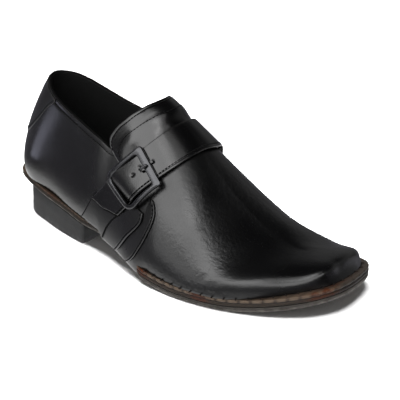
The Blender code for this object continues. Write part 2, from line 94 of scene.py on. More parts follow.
# Welt: two rounded layers with a groove between them, the upper one pinched at each stitch.
WeltLayer = namedtuple("WeltLayer", "start span upper")
WELT_LAYERS = [WeltLayer(0.0, 0.44, 0.0), WeltLayer(0.52, 0.48, 1.0)]
Level = namedtuple("Level", "height inset upper groove")
BEAD_DEPTH = 0.75
BEAD_TURNS = np.linspace(-0.96, 0.96, 9)
WELT_LIP = 0.6
WELT_PINCH_REACH = 1.1
HEEL_PINCH_REACH = 0.9
WELT_PINCH_DEPTH = 0.4
WELT_STITCH_PITCH = 8.6
WELT_STITCH_SIZE = (2.4, 0.9, 1.5)
WELT_STITCH_OUT = 0.9
WELT_STITCH_RISE = 0.35
WELT_STITCH_LEAD = 2.0
WELT_LINE_POINTS = 900

# Tones of the welt: pale tan on its upper layer, painted shade at each stitch, in the grooves and along
# its top, a shaded stretch round the toe, burnished spots.
# Pale tan of the welt's upper layer, less over the heel, cut back by painted shade at stitches and toward
# the grooves.
WELT_TAN = 0.85
WELT_TAN_LOSS_HEEL = 0.3
WELT_TAN_LOSS_SHADE = 0.8
WELT_TOP_TAN = 0.3
# Painted shade of the welt: in its grooves, less over the lip, and along its top under the upper, more at
# stitches and round the toe, less over the heel.
GROOVE_POWER = 6
GROOVE_DARK = 0.85
LIP_DARK = 0.3
LIP_START = 0.7
TOP_DARK = 0.45
TOP_DARK_PINCH = 0.3
TOP_DARK_TOE = 0.4
TOP_DARK_HEEL = -0.25
TOE_SHADE = 0.85
TOE_SHADE_X = 265.0
TOE_SHADE_FADE_X = 15.0
TOE_SHADE_Y = -9.0
TOE_SHADE_FADE_Y = 8.0
Burnish = namedtuple("Burnish", "x y reach strength")
BURNISHES = [
    Burnish(288, -14, 9, 1.0),
    Burnish(159, -56, 8, 1.0),
    Burnish(48, -29, 18, 0.16),
    Burnish(215, -58, 6, 1.0),
]

# Upper: leather, and how far it wraps down over the sole edge at the waist.
UPPER_THICK = 2.0
WRAP_START_X = 104.0
WRAP_END_X = 166.0
WRAP_RAMP = 7.0
WRAP_END_STRETCH = 2.0
WRAP_CLEAR = 1.0
WALL_RAMP = 15.0
FOOT_HEIGHT = 0.25
UPPER_COLUMNS = 720
OUTER_ROWS = 64
INNER_ROWS = 22
RIM_ROWS = 5
SECTION_STEPS = 300
SPINE_STEPS = 400
RIDGE_END = np.array([268.0, 8.0])
RIDGE_END_REACH = 14.0
RIDGE_END_FADE = 9.0
RIDGE_END_POWERS = 4

# Finish of the upper: its collar line, and where it is polished or wrinkled more.
COLLAR_STITCH_DROP = 3.6
COLLAR_TROUGH = 0.7
COLLAR_TROUGH_DEPTH = 0.22
# Width of the painted shade, near black, along the collar's stitch trough.
COLLAR_TROUGH_DARK = 0.5
COLLAR_ROUND_END = 0.05
COLLAR_RUB = 1.2
COLLAR_LINE_END = 0.60
COLLAR_LINE_TOP = 0.9
COLLAR_LINE_POINTS = 320
HEEL_POLISH = 0.65
HEEL_POLISH_END_X = 112.0
TOE_POLISH = 0.35
TOE_POLISH_START_X = 246.0
POLISH_FADE = 25.0
POLISH_ROUGHNESS = -0.14
BEND_X = 212.0
BEND_REACH = 34.0
BEND_WRINKLES = 6.5

# Pieces that lie on the upper. Shares go from a piece's rear edge to its front edge.
BAND_SINK = 0.1
EDGE_RUB = 0.8
END_CROWDING = 0.13
FLAP_THICK = 1.5
FLAP_PUFF = 2.8
FLAP_PUFF_GIRTH = 1.05
FLAP_PUFF_REACH = 0.27
FLAP_PUFF_SHARE = 0.52
FLAP_PUFF_FADE = 0.24
FLAP_EDGE_DIP = 0.4
FLAP_EDGE_REACH = 0.05
FLAP_SWELL = 1.0
FLAP_SWELL_GIRTH = 0.60
FLAP_SWELL_GIRTH_REACH = 0.13
FLAP_SWELL_SHARE = 0.34
FLAP_SWELL_SHARE_REACH = 0.17
STRAP_THICK = 1.8
STRAP_ARCH = 2.2
STRAP_ARCH_GIRTH = 0.440
STRAP_ARCH_REACH_DOWN = 0.060
STRAP_ARCH_REACH_UP = 0.070
STRAP_FOOT_THICK = 1.15
FACING_THICK = 0.7
FACING_TILT = 1.0
FACING_TILT_SHARE = 0.6
QUARTER_PANEL_THICK = 0.6
HEEL_TAB_THICK = 0.3
HEEL_TAB_ROUNDING = 0.45
HEEL_TAB_ALONG = 90
HEEL_TAB_ACROSS = 26

# Lines of stitches in the leather: how far inside an edge they lie, their trough and their thread.
FLAP_STITCH_INSETS = (2.4, 10.0)
STRAP_STITCH_INSET = 2.2
FOOT_STITCH_INSET = 1.8
HEEL_TAB_STITCH_INSET = 1.8
STITCH_TROUGH = 0.5
STITCH_TROUGH_DEPTH = 0.16
STITCH_OFFSET = 0.02
STITCH_PITCH = 2.7
STITCH_SIZE = (1.1, 0.5, 2.5)
FLAP_LINE_GIRTHS = (0.52, 1.48)
STRAP_LINE_GIRTHS = (0.235, 1.95)
FOOT_LINE_GIRTHS = (0.03, 0.37)
FACING_LINE_GIRTHS = (0.03, 0.46)
BAND_LINE_POINTS = 220
STRAP_LINE_POINTS = 400
HEEL_TAB_LINE_POINTS = 240

# Sections of the last, from the heel to the toe: its ridge point, its sole edge, the two handles of the
# curve between them, the weights of that curve, and the collar's height, 1 or more where it is closed.
# Most handles and weights from the joint to the toe, and the ridge heights from fore to toe_front, are
# rounded results of a least-squares fit to the photo's highlights, made outside this script.
Section = namedtuple(
    "Section",
    "name spine_x spine_y top_z edge_x edge_y wall_out wall_up crown_out crown_drop fullness ridge collar",
)
LATERAL = [
    Section("heel_back", 46, 2, 130, 4, 3.5, 8.5, 24, 12, 0, 1.0, 1.0, 0.655),
    Section("heel_turn", 46, 2, 130, 13, -16, 10, 24, 11.5, 0, 1.0, 1.0, 0.652),
    Section("heel_side", 52, 1, 130, 41, -25.5, 8, 26, 14.5, 0, 1.0, 1.0, 0.579),
    Section("seat", 76, -1, 130, 70, -33, 6, 26, 16, 0, 1.0, 1.0, 0.530),
    Section("waist", 102, -3, 128, 100, -39, 6, 30, 20, 0, 1.0, 1.0, 0.500),
    Section("instep", 126, -4, 119, 128, -45, 6, 30, 24, 0, 1.0, 1.0, 0.575),
    Section("throat", 149, -4, 106, 152, -53.5, 5, 26, 28, 0, 1.0, 1.0, 0.900),
    Section("joint", 176, -4, 86, 180, -58.5, 2.9, 22, 31, 1.0, 1.09, 1.26, 1.400),
    Section("ball", 204, -2, 60, 212, -58.5, 0.4, 13.8, 32.9, 3.1, 1.87, 1.5, 1.600),
    Section("fore", 232, 2, 40.1, 245, -47.5, 0.5, 14.3, 19.6, 2.7, 0.89, 3.82, 1.600),
    Section("toe_side", 254, 5, 32.8, 268, -29, -0.6, 16.4, 15.3, 1.5, 0.47, 2.23, 1.600),
    Section("toe_corner", 266.4, 7, 32.3, 283.5, -12.5, -2.2, 11.8, 26.7, -0.4, 0.57, 2.72, 1.600),
    Section("toe_front", 271.5, 8, 32.3, 290.3, 9, -4.4, 6.5, 13.7, -0.1, 2.65, 0.68, 1.600),
]
MEDIAL = [
    LATERAL[0],
    Section("heel_turn", 46, 2, 130, 14, 22, 5.5, 24, 13, 0, 1.0, 1.0, 0.640),
    Section("heel_side", 52, 1, 130, 41, 29.5, 5.5, 26, 13, 0, 1.0, 1.0, 0.617),
    Section("seat", 76, -1, 130, 70, 29, 6, 28, 16, 0, 1.0, 1.0, 0.566),
    Section("waist", 102, -3, 128, 100, 25, 8, 34, 20, 0, 1.0, 1.0, 0.533),
    Section("instep", 126, -4, 119, 128, 26.5, 8, 34, 24, 0, 1.0, 1.0, 0.611),
    Section("throat", 149, -4, 106, 152, 32, 7, 28, 28, 0, 1.0, 1.0, 0.900),
    Section("joint", 176, -4, 86, 180, 40, 5, 22, 30, -0.8, 1.0, 1.0, 1.400),
    Section("ball", 204, -2, 60, 212, 46, 2, 17, 32, -1.2, 1.1, 1.0, 1.600),
    Section("fore", 232, 2, 40.1, 245, 46.5, 3.0, 17.1, 15.7, -1.3, 2.69, 0.87, 1.600),
    Section("toe_side", 254, 5, 32.8, 271, 44, 5.0, 12.4, 7.0, -0.6, 6.04, 0.73, 1.600),
    Section("toe_corner", 266.4, 7, 32.3, 284.5, 37.3, -4.2, 9.6, 23.5, -0.6, 2.75, 1.53, 1.600),
    LATERAL[-1],
]

# Outlines of the sole and of the heel block in plan, from the back to the front.
Outline = namedtuple("Outline", "name lateral_x lateral_y medial_x medial_y")
SOLE = [
    Outline("heel_back", -0.8, 3.5, -0.8, 3.5),
    Outline("back_turn", 2, -8.7, 3, 15),
    Outline("back_side", 13, -17, 13, 24),
    Outline("seat_back", 28, -23.5, 28, 29.5),
    Outline("seat", 48, -29.5, 48, 31.8),
    Outline("seat_front", 72, -34.5, 72, 31),
    Outline("breast", 92, -37.8, 92, 28),
    Outline("waist_in", 104, -36.8, 104, 21.8),
    Outline("waist", 124, -40.8, 124, 23),
    Outline("waist_out", 143, -46.6, 143, 26.4),
    Outline("joint_in", 149.5, -50.2, 151, 28.6),
    Outline("joint", 158.5, -57, 161.5, 36.4),
    Outline("joint_out", 172, -59.4, 174, 41.6),
    Outline("ball", 196, -60.2, 200, 48),
    Outline("tread", 222, -56.5, 226, 50),
    Outline("fore", 246, -48.6, 254, 51.5),
    Outline("toe_side", 269, -36.5, 277.5, 48.6),
    Outline("toe_turn", 285, -23, 290.1, 37.9),
    Outline("toe_corner", 293.2, -11, 294.6, 25),
    Outline("toe_front", 297.2, 6, 297.2, 6),
]
HEEL = [
    Outline("back", 11, 2, 11, 2),
    Outline("back_turn", 13.5, -9, 13.5, 12.5),
    Outline("back_side", 22, -18.6, 20, 20),
    Outline("side", 37.8, -25.4, 38, 27),
    Outline("middle", 57.2, -31.4, 57.5, 28.5),
    Outline("front", 75, -35.5, 75, 28.3),
    Outline("corner_in", 84.4, -37, 84.5, 27.4),
    Outline("corner", 87.4, -36.7, 87.3, 26),
    Outline("breast_in", 88.7, -33, 88.5, 23),
    Outline("breast_side", 88.9, -27, 88.9, 17),
    Outline("breast", 89.5, -15, 89.5, 8),
    Outline("breast_mid", 90, -3.5, 90, -3.5),
]

# Bands across the last. Girth goes from 0 at the lateral sole edge, over 1 at the ridge, to 2 at the
# medial sole edge. Where front_rise is set, the front edge lies that much higher in girth than the
# rear edge.
Band = namedtuple("Band", "girth rear_x front_x lift front_rise", defaults=(0.0,))
STRAP = [
    Band(0.230, 103.1, 128.9, 0.30, 0.056),
    Band(0.300, 108.8, 134.8, 0.30, 0.036),
    Band(0.390, 117.0, 142.4, 0.80, 0.010),
    Band(0.450, 123.3, 147.6, 1.80),
    Band(0.500, 128.0, 151.6, 2.10),
    Band(0.620, 138.6, 160.6, 2.10),
    Band(0.750, 146.8, 167.8, 2.10),
    Band(0.860, 151.3, 171.8, 2.10),
    Band(1.000, 154.2, 174.4, 2.10),
    Band(1.150, 151.6, 173.6, 2.10),
    Band(1.300, 145.0, 168.0, 2.20),
    Band(1.450, 137.5, 161.5, 2.25),
    Band(1.530, 133.4, 157.8, 2.20),
    Band(1.600, 129.9, 154.6, 0.80),
    Band(1.750, 123.0, 147.6, 0.30),
    Band(1.960, 116.5, 140.5, 0.30),
]
FLAP = [
    Band(0.480, 128.0, 145.0, 0.3),
    Band(0.495, 119.5, 147.5, 0.3),
    Band(0.515, 113.6, 150.0, 0.3),
    Band(0.545, 111.0, 152.6, 0.3),
    Band(0.600, 112.6, 156.8, 0.3),
    Band(0.710, 120.6, 163.3, 0.3),
    Band(0.830, 128.4, 168.2, 0.3),
    Band(1.000, 134.6, 172.0, 0.3),
    Band(1.170, 129.0, 170.2, 0.3),
    Band(1.290, 121.6, 166.0, 0.3),
    Band(1.400, 113.6, 161.4, 0.3),
    Band(1.455, 112.0, 158.6, 0.3),
    Band(1.485, 114.6, 157.0, 0.3),
    Band(1.505, 120.5, 155.6, 0.3),
    Band(1.520, 129.0, 154.5, 0.3),
]
STRAP_BASE = [
    Band(0.020, 112.0, 126.6, 0.3),
    Band(0.060, 113.8, 129.8, 0.3),
    Band(0.120, 116.8, 134.4, 0.3),
    Band(0.210, 123.8, 141.6, 0.3),
    Band(0.265, 129.8, 147.2, 0.3),
    Band(0.300, 134.0, 150.8, 0.3),
    Band(0.345, 139.2, 153.8, 0.3),
    Band(0.385, 143.6, 153.8, 0.3),
]
QUARTER_PANEL = [
    Band(0.020, 91.8, 113.0, 0.0),
    Band(0.060, 94.2, 115.0, 0.0),
    Band(0.120, 97.8, 118.5, 0.0),
    Band(0.203, 102.8, 125.0, 0.0),
    Band(0.250, 106.0, 129.0, 0.0),
    Band(0.270, 107.3, 131.0, 0.0),
]


def shadow_strip(rows, behind, under, lift):
    """Rows of a black strip that stands out behind a band's rear edge and reaches under it, as painted
    shadow.
    """
    return [Band(row.girth, row.rear_x - behind, row.rear_x + under, lift) for row in rows]


# Black strips of painted shadow: behind the strap's foot and the quarter's front panel, and below the
# strap's tail.
FOOT_SHADOW_STRIP = shadow_strip(STRAP_BASE[:6], behind=1.3, under=4.0, lift=0.40)
SEAM_SHADOW_STRIP = shadow_strip(QUARTER_PANEL[:5], behind=0.8, under=2.0, lift=0.0)
TAIL_SHADOW_STRIP = [
    Band(0.217, 101.6, 129.6, 0.4, 0.056),
    Band(0.245, 104.0, 131.0, 0.4, 0.054),
]
FACING = [
    Band(0.020, 127.6, 140.0, 0.3),
    Band(0.060, 130.8, 144.2, 0.3),
    Band(0.120, 135.4, 149.8, 0.3),
    Band(0.210, 142.6, 157.0, 0.3),
    Band(0.265, 148.2, 160.2, 0.3),
    Band(0.345, 154.8, 163.4, 0.3),
    Band(0.400, 155.2, 164.4, 0.3),
    Band(0.445, 156.0, 163.6, 0.3),
    Band(0.485, 157.0, 160.2, 0.3),
]
HeelTab = namedtuple("HeelTab", "station lateral_low medial_low")
HEEL_TAB = [
    HeelTab(0.000, 0.290, 0.290),
    HeelTab(0.040, 0.300, 0.300),
    HeelTab(0.074, 0.325, 0.325),
    HeelTab(0.110, 0.415, 0.420),
    HeelTab(0.140, 0.510, 0.530),
    HeelTab(0.158, 0.548, 0.580),
]
HEEL_TAB_TOP_MARGIN = 0.012

# Buckle: its ends and skew along the strap are girths, and the prong's place across is a share of the
# strap's width. The rest is in millimetres.
FRAME_GIRTH_REAR = 0.368
FRAME_GIRTH_FRONT = 0.635
FRAME_LENGTH = 36.0
FRAME_SKEW_REAR = 0.030
FRAME_SKEW_FRONT = 0.041
FRAME_WIDTH = 33.0
FRAME_SHIFT = 1.7
FRAME_THICK = 2.2
FRAME_GAP = 0.6
FRAME_REAR_RADIUS = 7.5
FRAME_REAR_BOW = 1.6
FRAME_FRONT_RADIUS = 2.2
FRAME_REAR_BAR = 3.4
FRAME_FRONT_BAR = 6.0
FRAME_SIDE_BAR = 3.2
FRAME_BEVEL = 0.7
FRAME_CROWN = 0.25
FRAME_CROWN_SHARES = (0.35, 0.5, 0.65)
BEVEL_TURNS = np.linspace(0, np.pi / 2, 4)
WINDOW_END = FRAME_LENGTH - FRAME_FRONT_BAR
WINDOW_REAR_RADIUS = 4.5
WINDOW_FRONT_RADIUS = 2.4
CORNER_POINTS = 12
SIDE_POINTS = 24
STRAP_WIDTH = 25.0
PRONG_RADIUS = 1.0
PRONG_GIRTH_START = 0.563
PRONG_GIRTH_END = 0.622
PRONG_ACROSS = 0.05
PRONG_TIP = 0.01
PRONG_STEPS = 28
PRONG_SIDES = 16

# Punched holes of the strap, along it (girth) and along the shoe. Each is a shallow pit with painted shade,
# black, at its middle.
Hole = namedtuple("Hole", "girth spine_x")
STRAP_HOLES = [Hole(0.510, 139.9), Hole(0.567, 143.6), Hole(0.647, 151.7)]
HOLE_LIFT = 2.1
HOLE_RADIUS = 1.25
HOLE_DEPTH = 0.9
HOLE_RIM = 0.2
HOLE_FADE = 0.45
# Share of painted hole shade above which a face takes the black material.
HOLE_DARK = 0.35

# Soft troughs of the leather, each along a line on the last. One unit of girth is about GIRTH_MM long.
Fold = namedtuple("Fold", "name start_x start_girth end_x end_girth half_width depth")
FOLDS = [
    Fold("joint_crease", 206, 0.10, 214, 0.34, 3.0, -0.20),
    Fold("joint_crease_front", 214, 0.10, 221, 0.30, 2.6, -0.16),
    Fold("vamp_dip", 192, 0.55, 206, 0.95, 6.0, -0.25),
    Fold("vamp_dip_medial", 204, 1.05, 194, 1.50, 6.0, -0.25),
]
GIRTH_MM = 105.0

# Camera: the photograph's angle, from the pixel where its target shows in a 400 by 400 image.
IMAGE_PIXELS = 400
CAMERA_AZIMUTH = 40.0
CAMERA_ELEVATION = 25.3
CAMERA_DISTANCE = 1850.0
CAMERA_TARGET = np.array([155.0, 2.0, 40.0])
TARGET_PIXEL = (188, 202)
FOCAL_PIXELS = 2580
SENSOR_WIDTH = 36.0
CAMERA_CLIP = (0.05, 50.0)
FLOOR_HALF = 6.0
FLOOR_COLOUR = (0.92, 0.92, 0.92)

# Lights: azimuth 0 is the outer side, 90 the toe. A mirror lamp only shows in gloss, a fill lamp
# only lights.
SHOE_MIDDLE = (150.0, -5.0, 45.0)
HEEL_SIDE = (38.0, -23.5, 71.0)
WHITE = (1.0, 1.0, 1.0)
COOL = (1.0, 0.98, 1.10)
BLUISH = (0.86, 0.88, 1.08)
Lamp = namedtuple(
    "Lamp",
    "name target azimuth elevation distance width height roll radiance use colour",
    defaults=(WHITE,),
)
LAMPS = [
    Lamp("softbox_outer", SHOE_MIDDLE, 0, 39, 2600, 4200, 1300, 12, 4.0, "mirror"),
    Lamp("softbox_edge", SHOE_MIDDLE, 36, 61, 2600, 1700, 1100, 0, 1.3, "mirror"),
    Lamp("softbox_top", SHOE_MIDDLE, 8, 58, 2600, 1690, 590, 0, 2.6, "mirror"),
    Lamp("softbox_low", SHOE_MIDDLE, -23.5, 3, 2600, 1900, 1050, 0, 1.8, "mirror"),
    Lamp("softbox_front", SHOE_MIDDLE, 45, 17, 2600, 3600, 900, 0, 3.0, "mirror"),
    Lamp("panel_heel", HEEL_SIDE, -62, -10, 45, 13, 56, -14, 1.25, "mirror", BLUISH),
    Lamp("overhead_back", SHOE_MIDDLE, -100, 61, 1500, 650, 650, 0, 36.0, "fill"),
    Lamp("overhead_front", SHOE_MIDDLE, 80, 79, 1500, 650, 650, 0, 23.0, "fill"),
    Lamp("front_fill", SHOE_MIDDLE, 10, 45, 2600, 3000, 1600, 0, 0.25, "fill"),
]
# Spots of the room that are darker or brighter than the rest of their height: the gain at the
# spot's middle. Their directions come from the same fit as the sections of the toe.
SkySpot = namedtuple("SkySpot", "name azimuth elevation outer_degrees inner_degrees gain")
SKY_SPOTS = [
    SkySpot("dark_corner", 82.8, -2.4, 21.5, 10, 0.0),
    SkySpot("toe_card", 153.3, -7.5, 22, 9, 3.1),
]
Sky = namedtuple("Sky", "elevation radiance colour", defaults=(WHITE,))
SKY = [
    Sky(-90, 1.60),
    Sky(-36, 1.55),
    Sky(-29, 1.30),
    Sky(-26, 0.40),
    Sky(-22, 0.16, COOL),
    Sky(-14, 0.21, COOL),
    Sky(-8, 0.22, COOL),
    Sky(8, 0.12),
    Sky(20, 0.30),
    Sky(30, 0.22),
    Sky(42, 0.07),
    Sky(52, 0.02),
    Sky(90, 0.03),
]


def unit(vectors):
    return vectors / np.linalg.norm(vectors, axis=-1, keepdims=True)


def periodic_spline(knots, values, period):
    """Smooth closed curve through rows of values, one row at each knot."""
    knots = np.asarray(knots, float)
    values = np.asarray(values, float)
    count = len(knots)
    spans = np.diff(np.append(knots, knots[0] + period))
    matrix = np.zeros((count, count))
    right = np.zeros_like(values)
    for i in range(count):
        after = (i + 1) % count
        matrix[i, i - 1] += spans[i - 1]
        matrix[i, i] += 2 * (spans[i - 1] + spans[i])
        matrix[i, after] += spans[i]
        right[i] = 6 * (values[after] - values[i]) / spans[i]
        right[i] -= 6 * (values[i] - values[i - 1]) / spans[i - 1]
    bends = np.linalg.solve(matrix, right)

    def at(where):
        where = np.mod(np.asarray(where, float) - knots[0], period) + knots[0]
        i = np.clip(np.searchsorted(knots, where, side="right") - 1, 0, count - 1)
        after = (i + 1) % count
        span = spans[i][..., None]
        u = (where - knots[i])[..., None] / span
        v = 1 - u
        curve = (v**3 - v) * bends[i] + (u**3 - u) * bends[after]
        return v * values[i] + u * values[after] + curve * span * span / 6

    return at


def open_curve(table, column):
    """Smooth curve through one column of a table, read against the table's first column."""
    places = np.array([row[0] for row in table], float)
    values = np.array([getattr(row, column) for row in table], float)
    slopes = np.gradient(values, places)

    def at(where):
        where = np.clip(np.asarray(where, float), places[0], places[-1])
        i = np.clip(np.searchsorted(places, where, side="right") - 1, 0, len(places) - 2)
        span = places[i + 1] - places[i]
        u = (where - places[i]) / span
        start = (1 + 2 * u) * (1 - u) ** 2 * values[i] + u * (1 - u) ** 2 * span * slopes[i]
        end = u * u * (3 - 2 * u) * values[i + 1] + u * u * (u - 1) * span * slopes[i + 1]
        return start + end

    return at


def two_sided_loop(lateral, medial, edge):
    """Closed curve: the lateral rows from heel to toe (0 to 1), then the medial rows back (1 to 2)."""
    lateral = np.asarray(lateral, float)
    medial = np.asarray(medial, float)
    lateral_steps = np.linalg.norm(np.diff(lateral[:, edge], axis=0), axis=1)
    medial_steps = np.linalg.norm(np.diff(medial[:, edge], axis=0), axis=1)
    station = np.concatenate([[0], np.cumsum(lateral_steps + medial_steps)])
    station /= station[-1]
    knots = np.concatenate([station, 2 - station[-2:0:-1]])
    values = np.concatenate([lateral, medial[-2:0:-1]])
    return station, periodic_spline(knots, values, 2.0)


def smooth_step(value):
    value = np.clip(value, 0, 1)
    return value * value * (3 - 2 * value)


def underside_z(x):
    """Height of the outsole's underside: heel seat, arch, flat tread and toe spring."""
    x = np.asarray(x, float)
    back = np.maximum(BREAST_X - x, 0)
    sag = (BREAST_Z + BREAST_SLOPE * BREAST_X - SEAT_Z) / BREAST_X**2
    seat = BREAST_Z + BREAST_SLOPE * back - sag * back**2
    arch_length = TREAD_START_X - BREAST_X
    u = np.clip((x - BREAST_X) / arch_length, 0, 1)
    arch = BREAST_Z * (2 * u**3 - 3 * u**2 + 1) - BREAST_SLOPE * arch_length * u * (1 - u) ** 2
    toe = np.maximum(x - TREAD_END_X, 0) / (TOE_TIP_X - TREAD_END_X)
    return np.where(x < BREAST_X, seat, arch) + TOE_SPRING * toe**TOE_SPRING_POWER


def forward_of_heel(x):
    """0 over the heel, 1 from the tread on."""
    return smooth_step((np.asarray(x, float) - BREAST_X) / (TREAD_START_X - BREAST_X))


def outsole_thick(x):
    return OUTSOLE_THICK_HEEL + (OUTSOLE_THICK_FORE - OUTSOLE_THICK_HEEL) * forward_of_heel(x)


def welt_low_z(x):
    return underside_z(x) + outsole_thick(x) + GAP


def welt_thick(x):
    return WELT_THICK_HEEL + (WELT_THICK_FORE - WELT_THICK_HEEL) * forward_of_heel(x)


def welt_top_z(x):
    return welt_low_z(x) + welt_thick(x)


def wrap_depth(x, ramp):
    """How far the upper reaches down over the sole's edge at the waist, with a ramp at both ends."""
    start_middle = WRAP_START_X + WRAP_RAMP / 2
    end_middle = WRAP_END_X - WRAP_END_STRETCH * WRAP_RAMP / 2
    start = smooth_step((x - start_middle) / ramp + 0.5)
    end = smooth_step((end_middle - x) / (WRAP_END_STRETCH * ramp) + 0.5)
    return start * end * (welt_top_z(x) + GAP - underside_z(x) - WRAP_CLEAR)


STATION, LAST_ROWS = two_sided_loop(
    [row[1:] for row in LATERAL], [row[1:] for row in MEDIAL], slice(3, 5)
)


def last_point(loop, height):
    """Point of the last: loop goes round the sole edge, height from that edge (0) to the ridge (1)."""
    row = Section("", *np.moveaxis(LAST_ROWS(loop), -1, 0))
    reach = np.hypot(row.edge_x - row.spine_x, row.edge_y - row.spine_y)
    wall_drop = wrap_depth(row.edge_x, WALL_RAMP)
    edge_z = welt_top_z(row.edge_x) + GAP - wall_drop
    low = (1 - height) ** 3
    wall = 3 * height * (1 - height) ** 2 * row.fullness * row.ridge
    crown = 3 * height**2 * (1 - height) * row.fullness
    top = height**3
    total = low + wall + crown + top
    out = (low * reach + wall * (reach + row.wall_out) + crown * row.crown_out) / total
    crown_z = row.top_z - row.crown_drop
    z = (low * edge_z + wall * (edge_z + row.wall_up) + crown * crown_z + top * row.top_z) / total
    z = z - (wrap_depth(row.edge_x, WRAP_RAMP) - wall_drop) * smooth_step(1 - height / FOOT_HEIGHT)
    x = row.spine_x + (row.edge_x - row.spine_x) / reach * out
    y = row.spine_y + (row.edge_y - row.spine_y) / reach * out
    return np.stack([x, y, z], axis=-1)


def collar_height(loop):
    return np.minimum(LAST_ROWS(loop)[..., -1], 1.0)


def form_point(station, girth):
    """Point of the last: station from heel (0) to toe (1), girth from lateral (0) to medial (2) edge."""
    medial = girth > 1
    return last_point(np.where(medial, 2 - station, station), np.where(medial, 2 - girth, girth))


def form_directions(station, girth):
    """Outward normal of the last, and its direction of rising girth."""
    along = form_point(station + FORM_STEP, girth) - form_point(station - FORM_STEP, girth)
    above = form_point(station, np.minimum(girth + FORM_STEP, 2))
    around = above - form_point(station, np.maximum(girth - FORM_STEP, 0))
    normal = np.cross(along, around)
    still = np.linalg.norm(normal, axis=-1, keepdims=True) < 1e-9
    return unit(np.where(still, (0.0, 0.0, 1.0), normal)), unit(around)


def form_offset(station, girth, lift):
    """Point that far outside the last."""
    normal, _ = form_directions(station, girth)
    return form_point(station, girth) + normal * np.asarray(lift)[..., None]


SPINE_STATIONS = np.linspace(STATION[2], 1.0, SPINE_STEPS)
SPINE_XS = LAST_ROWS(SPINE_STATIONS)[:, 0]


def station_at(spine_x):
    """Station whose ridge point is at that distance from the heel (in front of the heel seat only)."""
    return np.interp(spine_x, SPINE_XS, SPINE_STATIONS)


def spine_x_at(station):
    return np.interp(station, SPINE_STATIONS, SPINE_XS)


def fold_relief(station, girth):
    """Height of the leather over the last, negative in its own troughs."""
    spine_x = spine_x_at(station)
    relief = np.zeros(np.broadcast(station, girth).shape)
    for fold in FOLDS:
        run = np.array([fold.end_x - fold.start_x, (fold.end_girth - fold.start_girth) * GIRTH_MM])
        off_x = spine_x - fold.start_x
        off_girth = (girth - fold.start_girth) * GIRTH_MM
        share = np.clip((off_x * run[0] + off_girth * run[1]) / (run @ run), 0, 1)
        away = np.hypot(off_x - share * run[0], off_girth - share * run[1])
        ends = smooth_step(4 * share * (1 - share))
        relief += fold.depth * ends * np.exp(-((away / fold.half_width) ** 2))
    return relief


def groove(distance, half_width, depth):
    """Trough of a line of stitches, from the distance to it."""
    return -depth * np.exp(-((distance / half_width) ** 2))


def quad(columns, row, next_row, column, next_column):
    """Corners of one face of a grid of points with that many columns."""
    start = row * columns
    following = next_row * columns
    return (start + column, following + column, following + next_column, start + next_column)


def grid_faces(rows, columns, wrap_rows=False, wrap_columns=False):
    faces = []
    for i in range(rows if wrap_rows else rows - 1):
        for j in range(columns if wrap_columns else columns - 1):
            faces.append(quad(columns, i, (i + 1) % rows, j, (j + 1) % columns))
    return faces


def add_piece(name, points, faces, materials, masks=None, face_material=None):
    """Smooth closed mesh from points in millimetres, with a named number on each point for its material."""
    mesh = bpy.data.meshes.new(name)
    mesh.from_pydata(((np.asarray(points, float) - BOX_CENTRE) * MM).tolist(), [], faces)
    for material in materials:
        mesh.materials.append(material)
    if face_material is not None:
        mesh.polygons.foreach_set("material_index", np.asarray(face_material, np.int32))
    for mask, values in (masks or {}).items():
        layer = mesh.attributes.new(mask, "FLOAT", "POINT")
        layer.data.foreach_set("value", np.asarray(values, np.float32).ravel())
    shape = bmesh.new()
    shape.from_mesh(mesh)
    bmesh.ops.remove_doubles(shape, verts=shape.verts, dist=MERGE_DISTANCE)
    bmesh.ops.recalc_face_normals(shape, faces=shape.faces)
    for face in shape.faces:
        face.smooth = True
    shape.to_mesh(mesh)
    shape.free()
    piece = bpy.data.objects.new(name, mesh)
    bpy.context.scene.collection.objects.link(piece)
    return piece


def dress(piece, slot, *nodes):
    """The piece moves with the shoe and stands for those solids; the slot is not used."""
    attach(piece, "root")
    if nodes:
        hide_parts(*nodes)


def add_node(tree, kind, inputs=None, **settings):
    """Shader or geometry node with its settings, its constants and its links."""
    made = tree.nodes.new(kind)
    for key, value in settings.items():
        setattr(made, key, value)
    for key, value in (inputs or {}).items():
        if isinstance(value, bpy.types.NodeSocket):
            tree.links.new(value, made.inputs[key])
        else:
            made.inputs[key].default_value = value
    return made


def new_group(name, inputs, outputs):
    """Empty shader group with named float sockets, and its two end nodes."""
    tree = bpy.data.node_groups.new(name, "ShaderNodeTree")
    for label, value in inputs.items():
        socket = tree.interface.new_socket(label, in_out="INPUT", socket_type="NodeSocketFloat")
        socket.default_value = value
    for label in outputs:
        tree.interface.new_socket(label, in_out="OUTPUT", socket_type="NodeSocketFloat")
    return tree, tree.nodes.new("NodeGroupInput"), tree.nodes.new("NodeGroupOutput")


def object_place(tree):
    return add_node(tree, "ShaderNodeTexCoord").outputs["Object"]


def noise(tree, place, scale, detail, roughness=0.5):
    """Noise from 0 to 1 at that place."""
    inputs = {"Vector": place, "Scale": scale, "Detail": detail, "Roughness": roughness}
    return add_node(tree, "ShaderNodeTexNoise", inputs).outputs["Fac"]


def maths(tree, operation, *values):
    return add_node(tree, "ShaderNodeMath", dict(enumerate(values)), operation=operation).outputs["Value"]


def remap(tree, value, low, high, start=0.0, end=1.0):
    """Value between start and end, spread over low to high."""
    limits = {"Value": value, "From Min": start, "From Max": end, "To Min": low, "To Max": high}
    return add_node(tree, "ShaderNodeMapRange", limits).outputs["Result"]


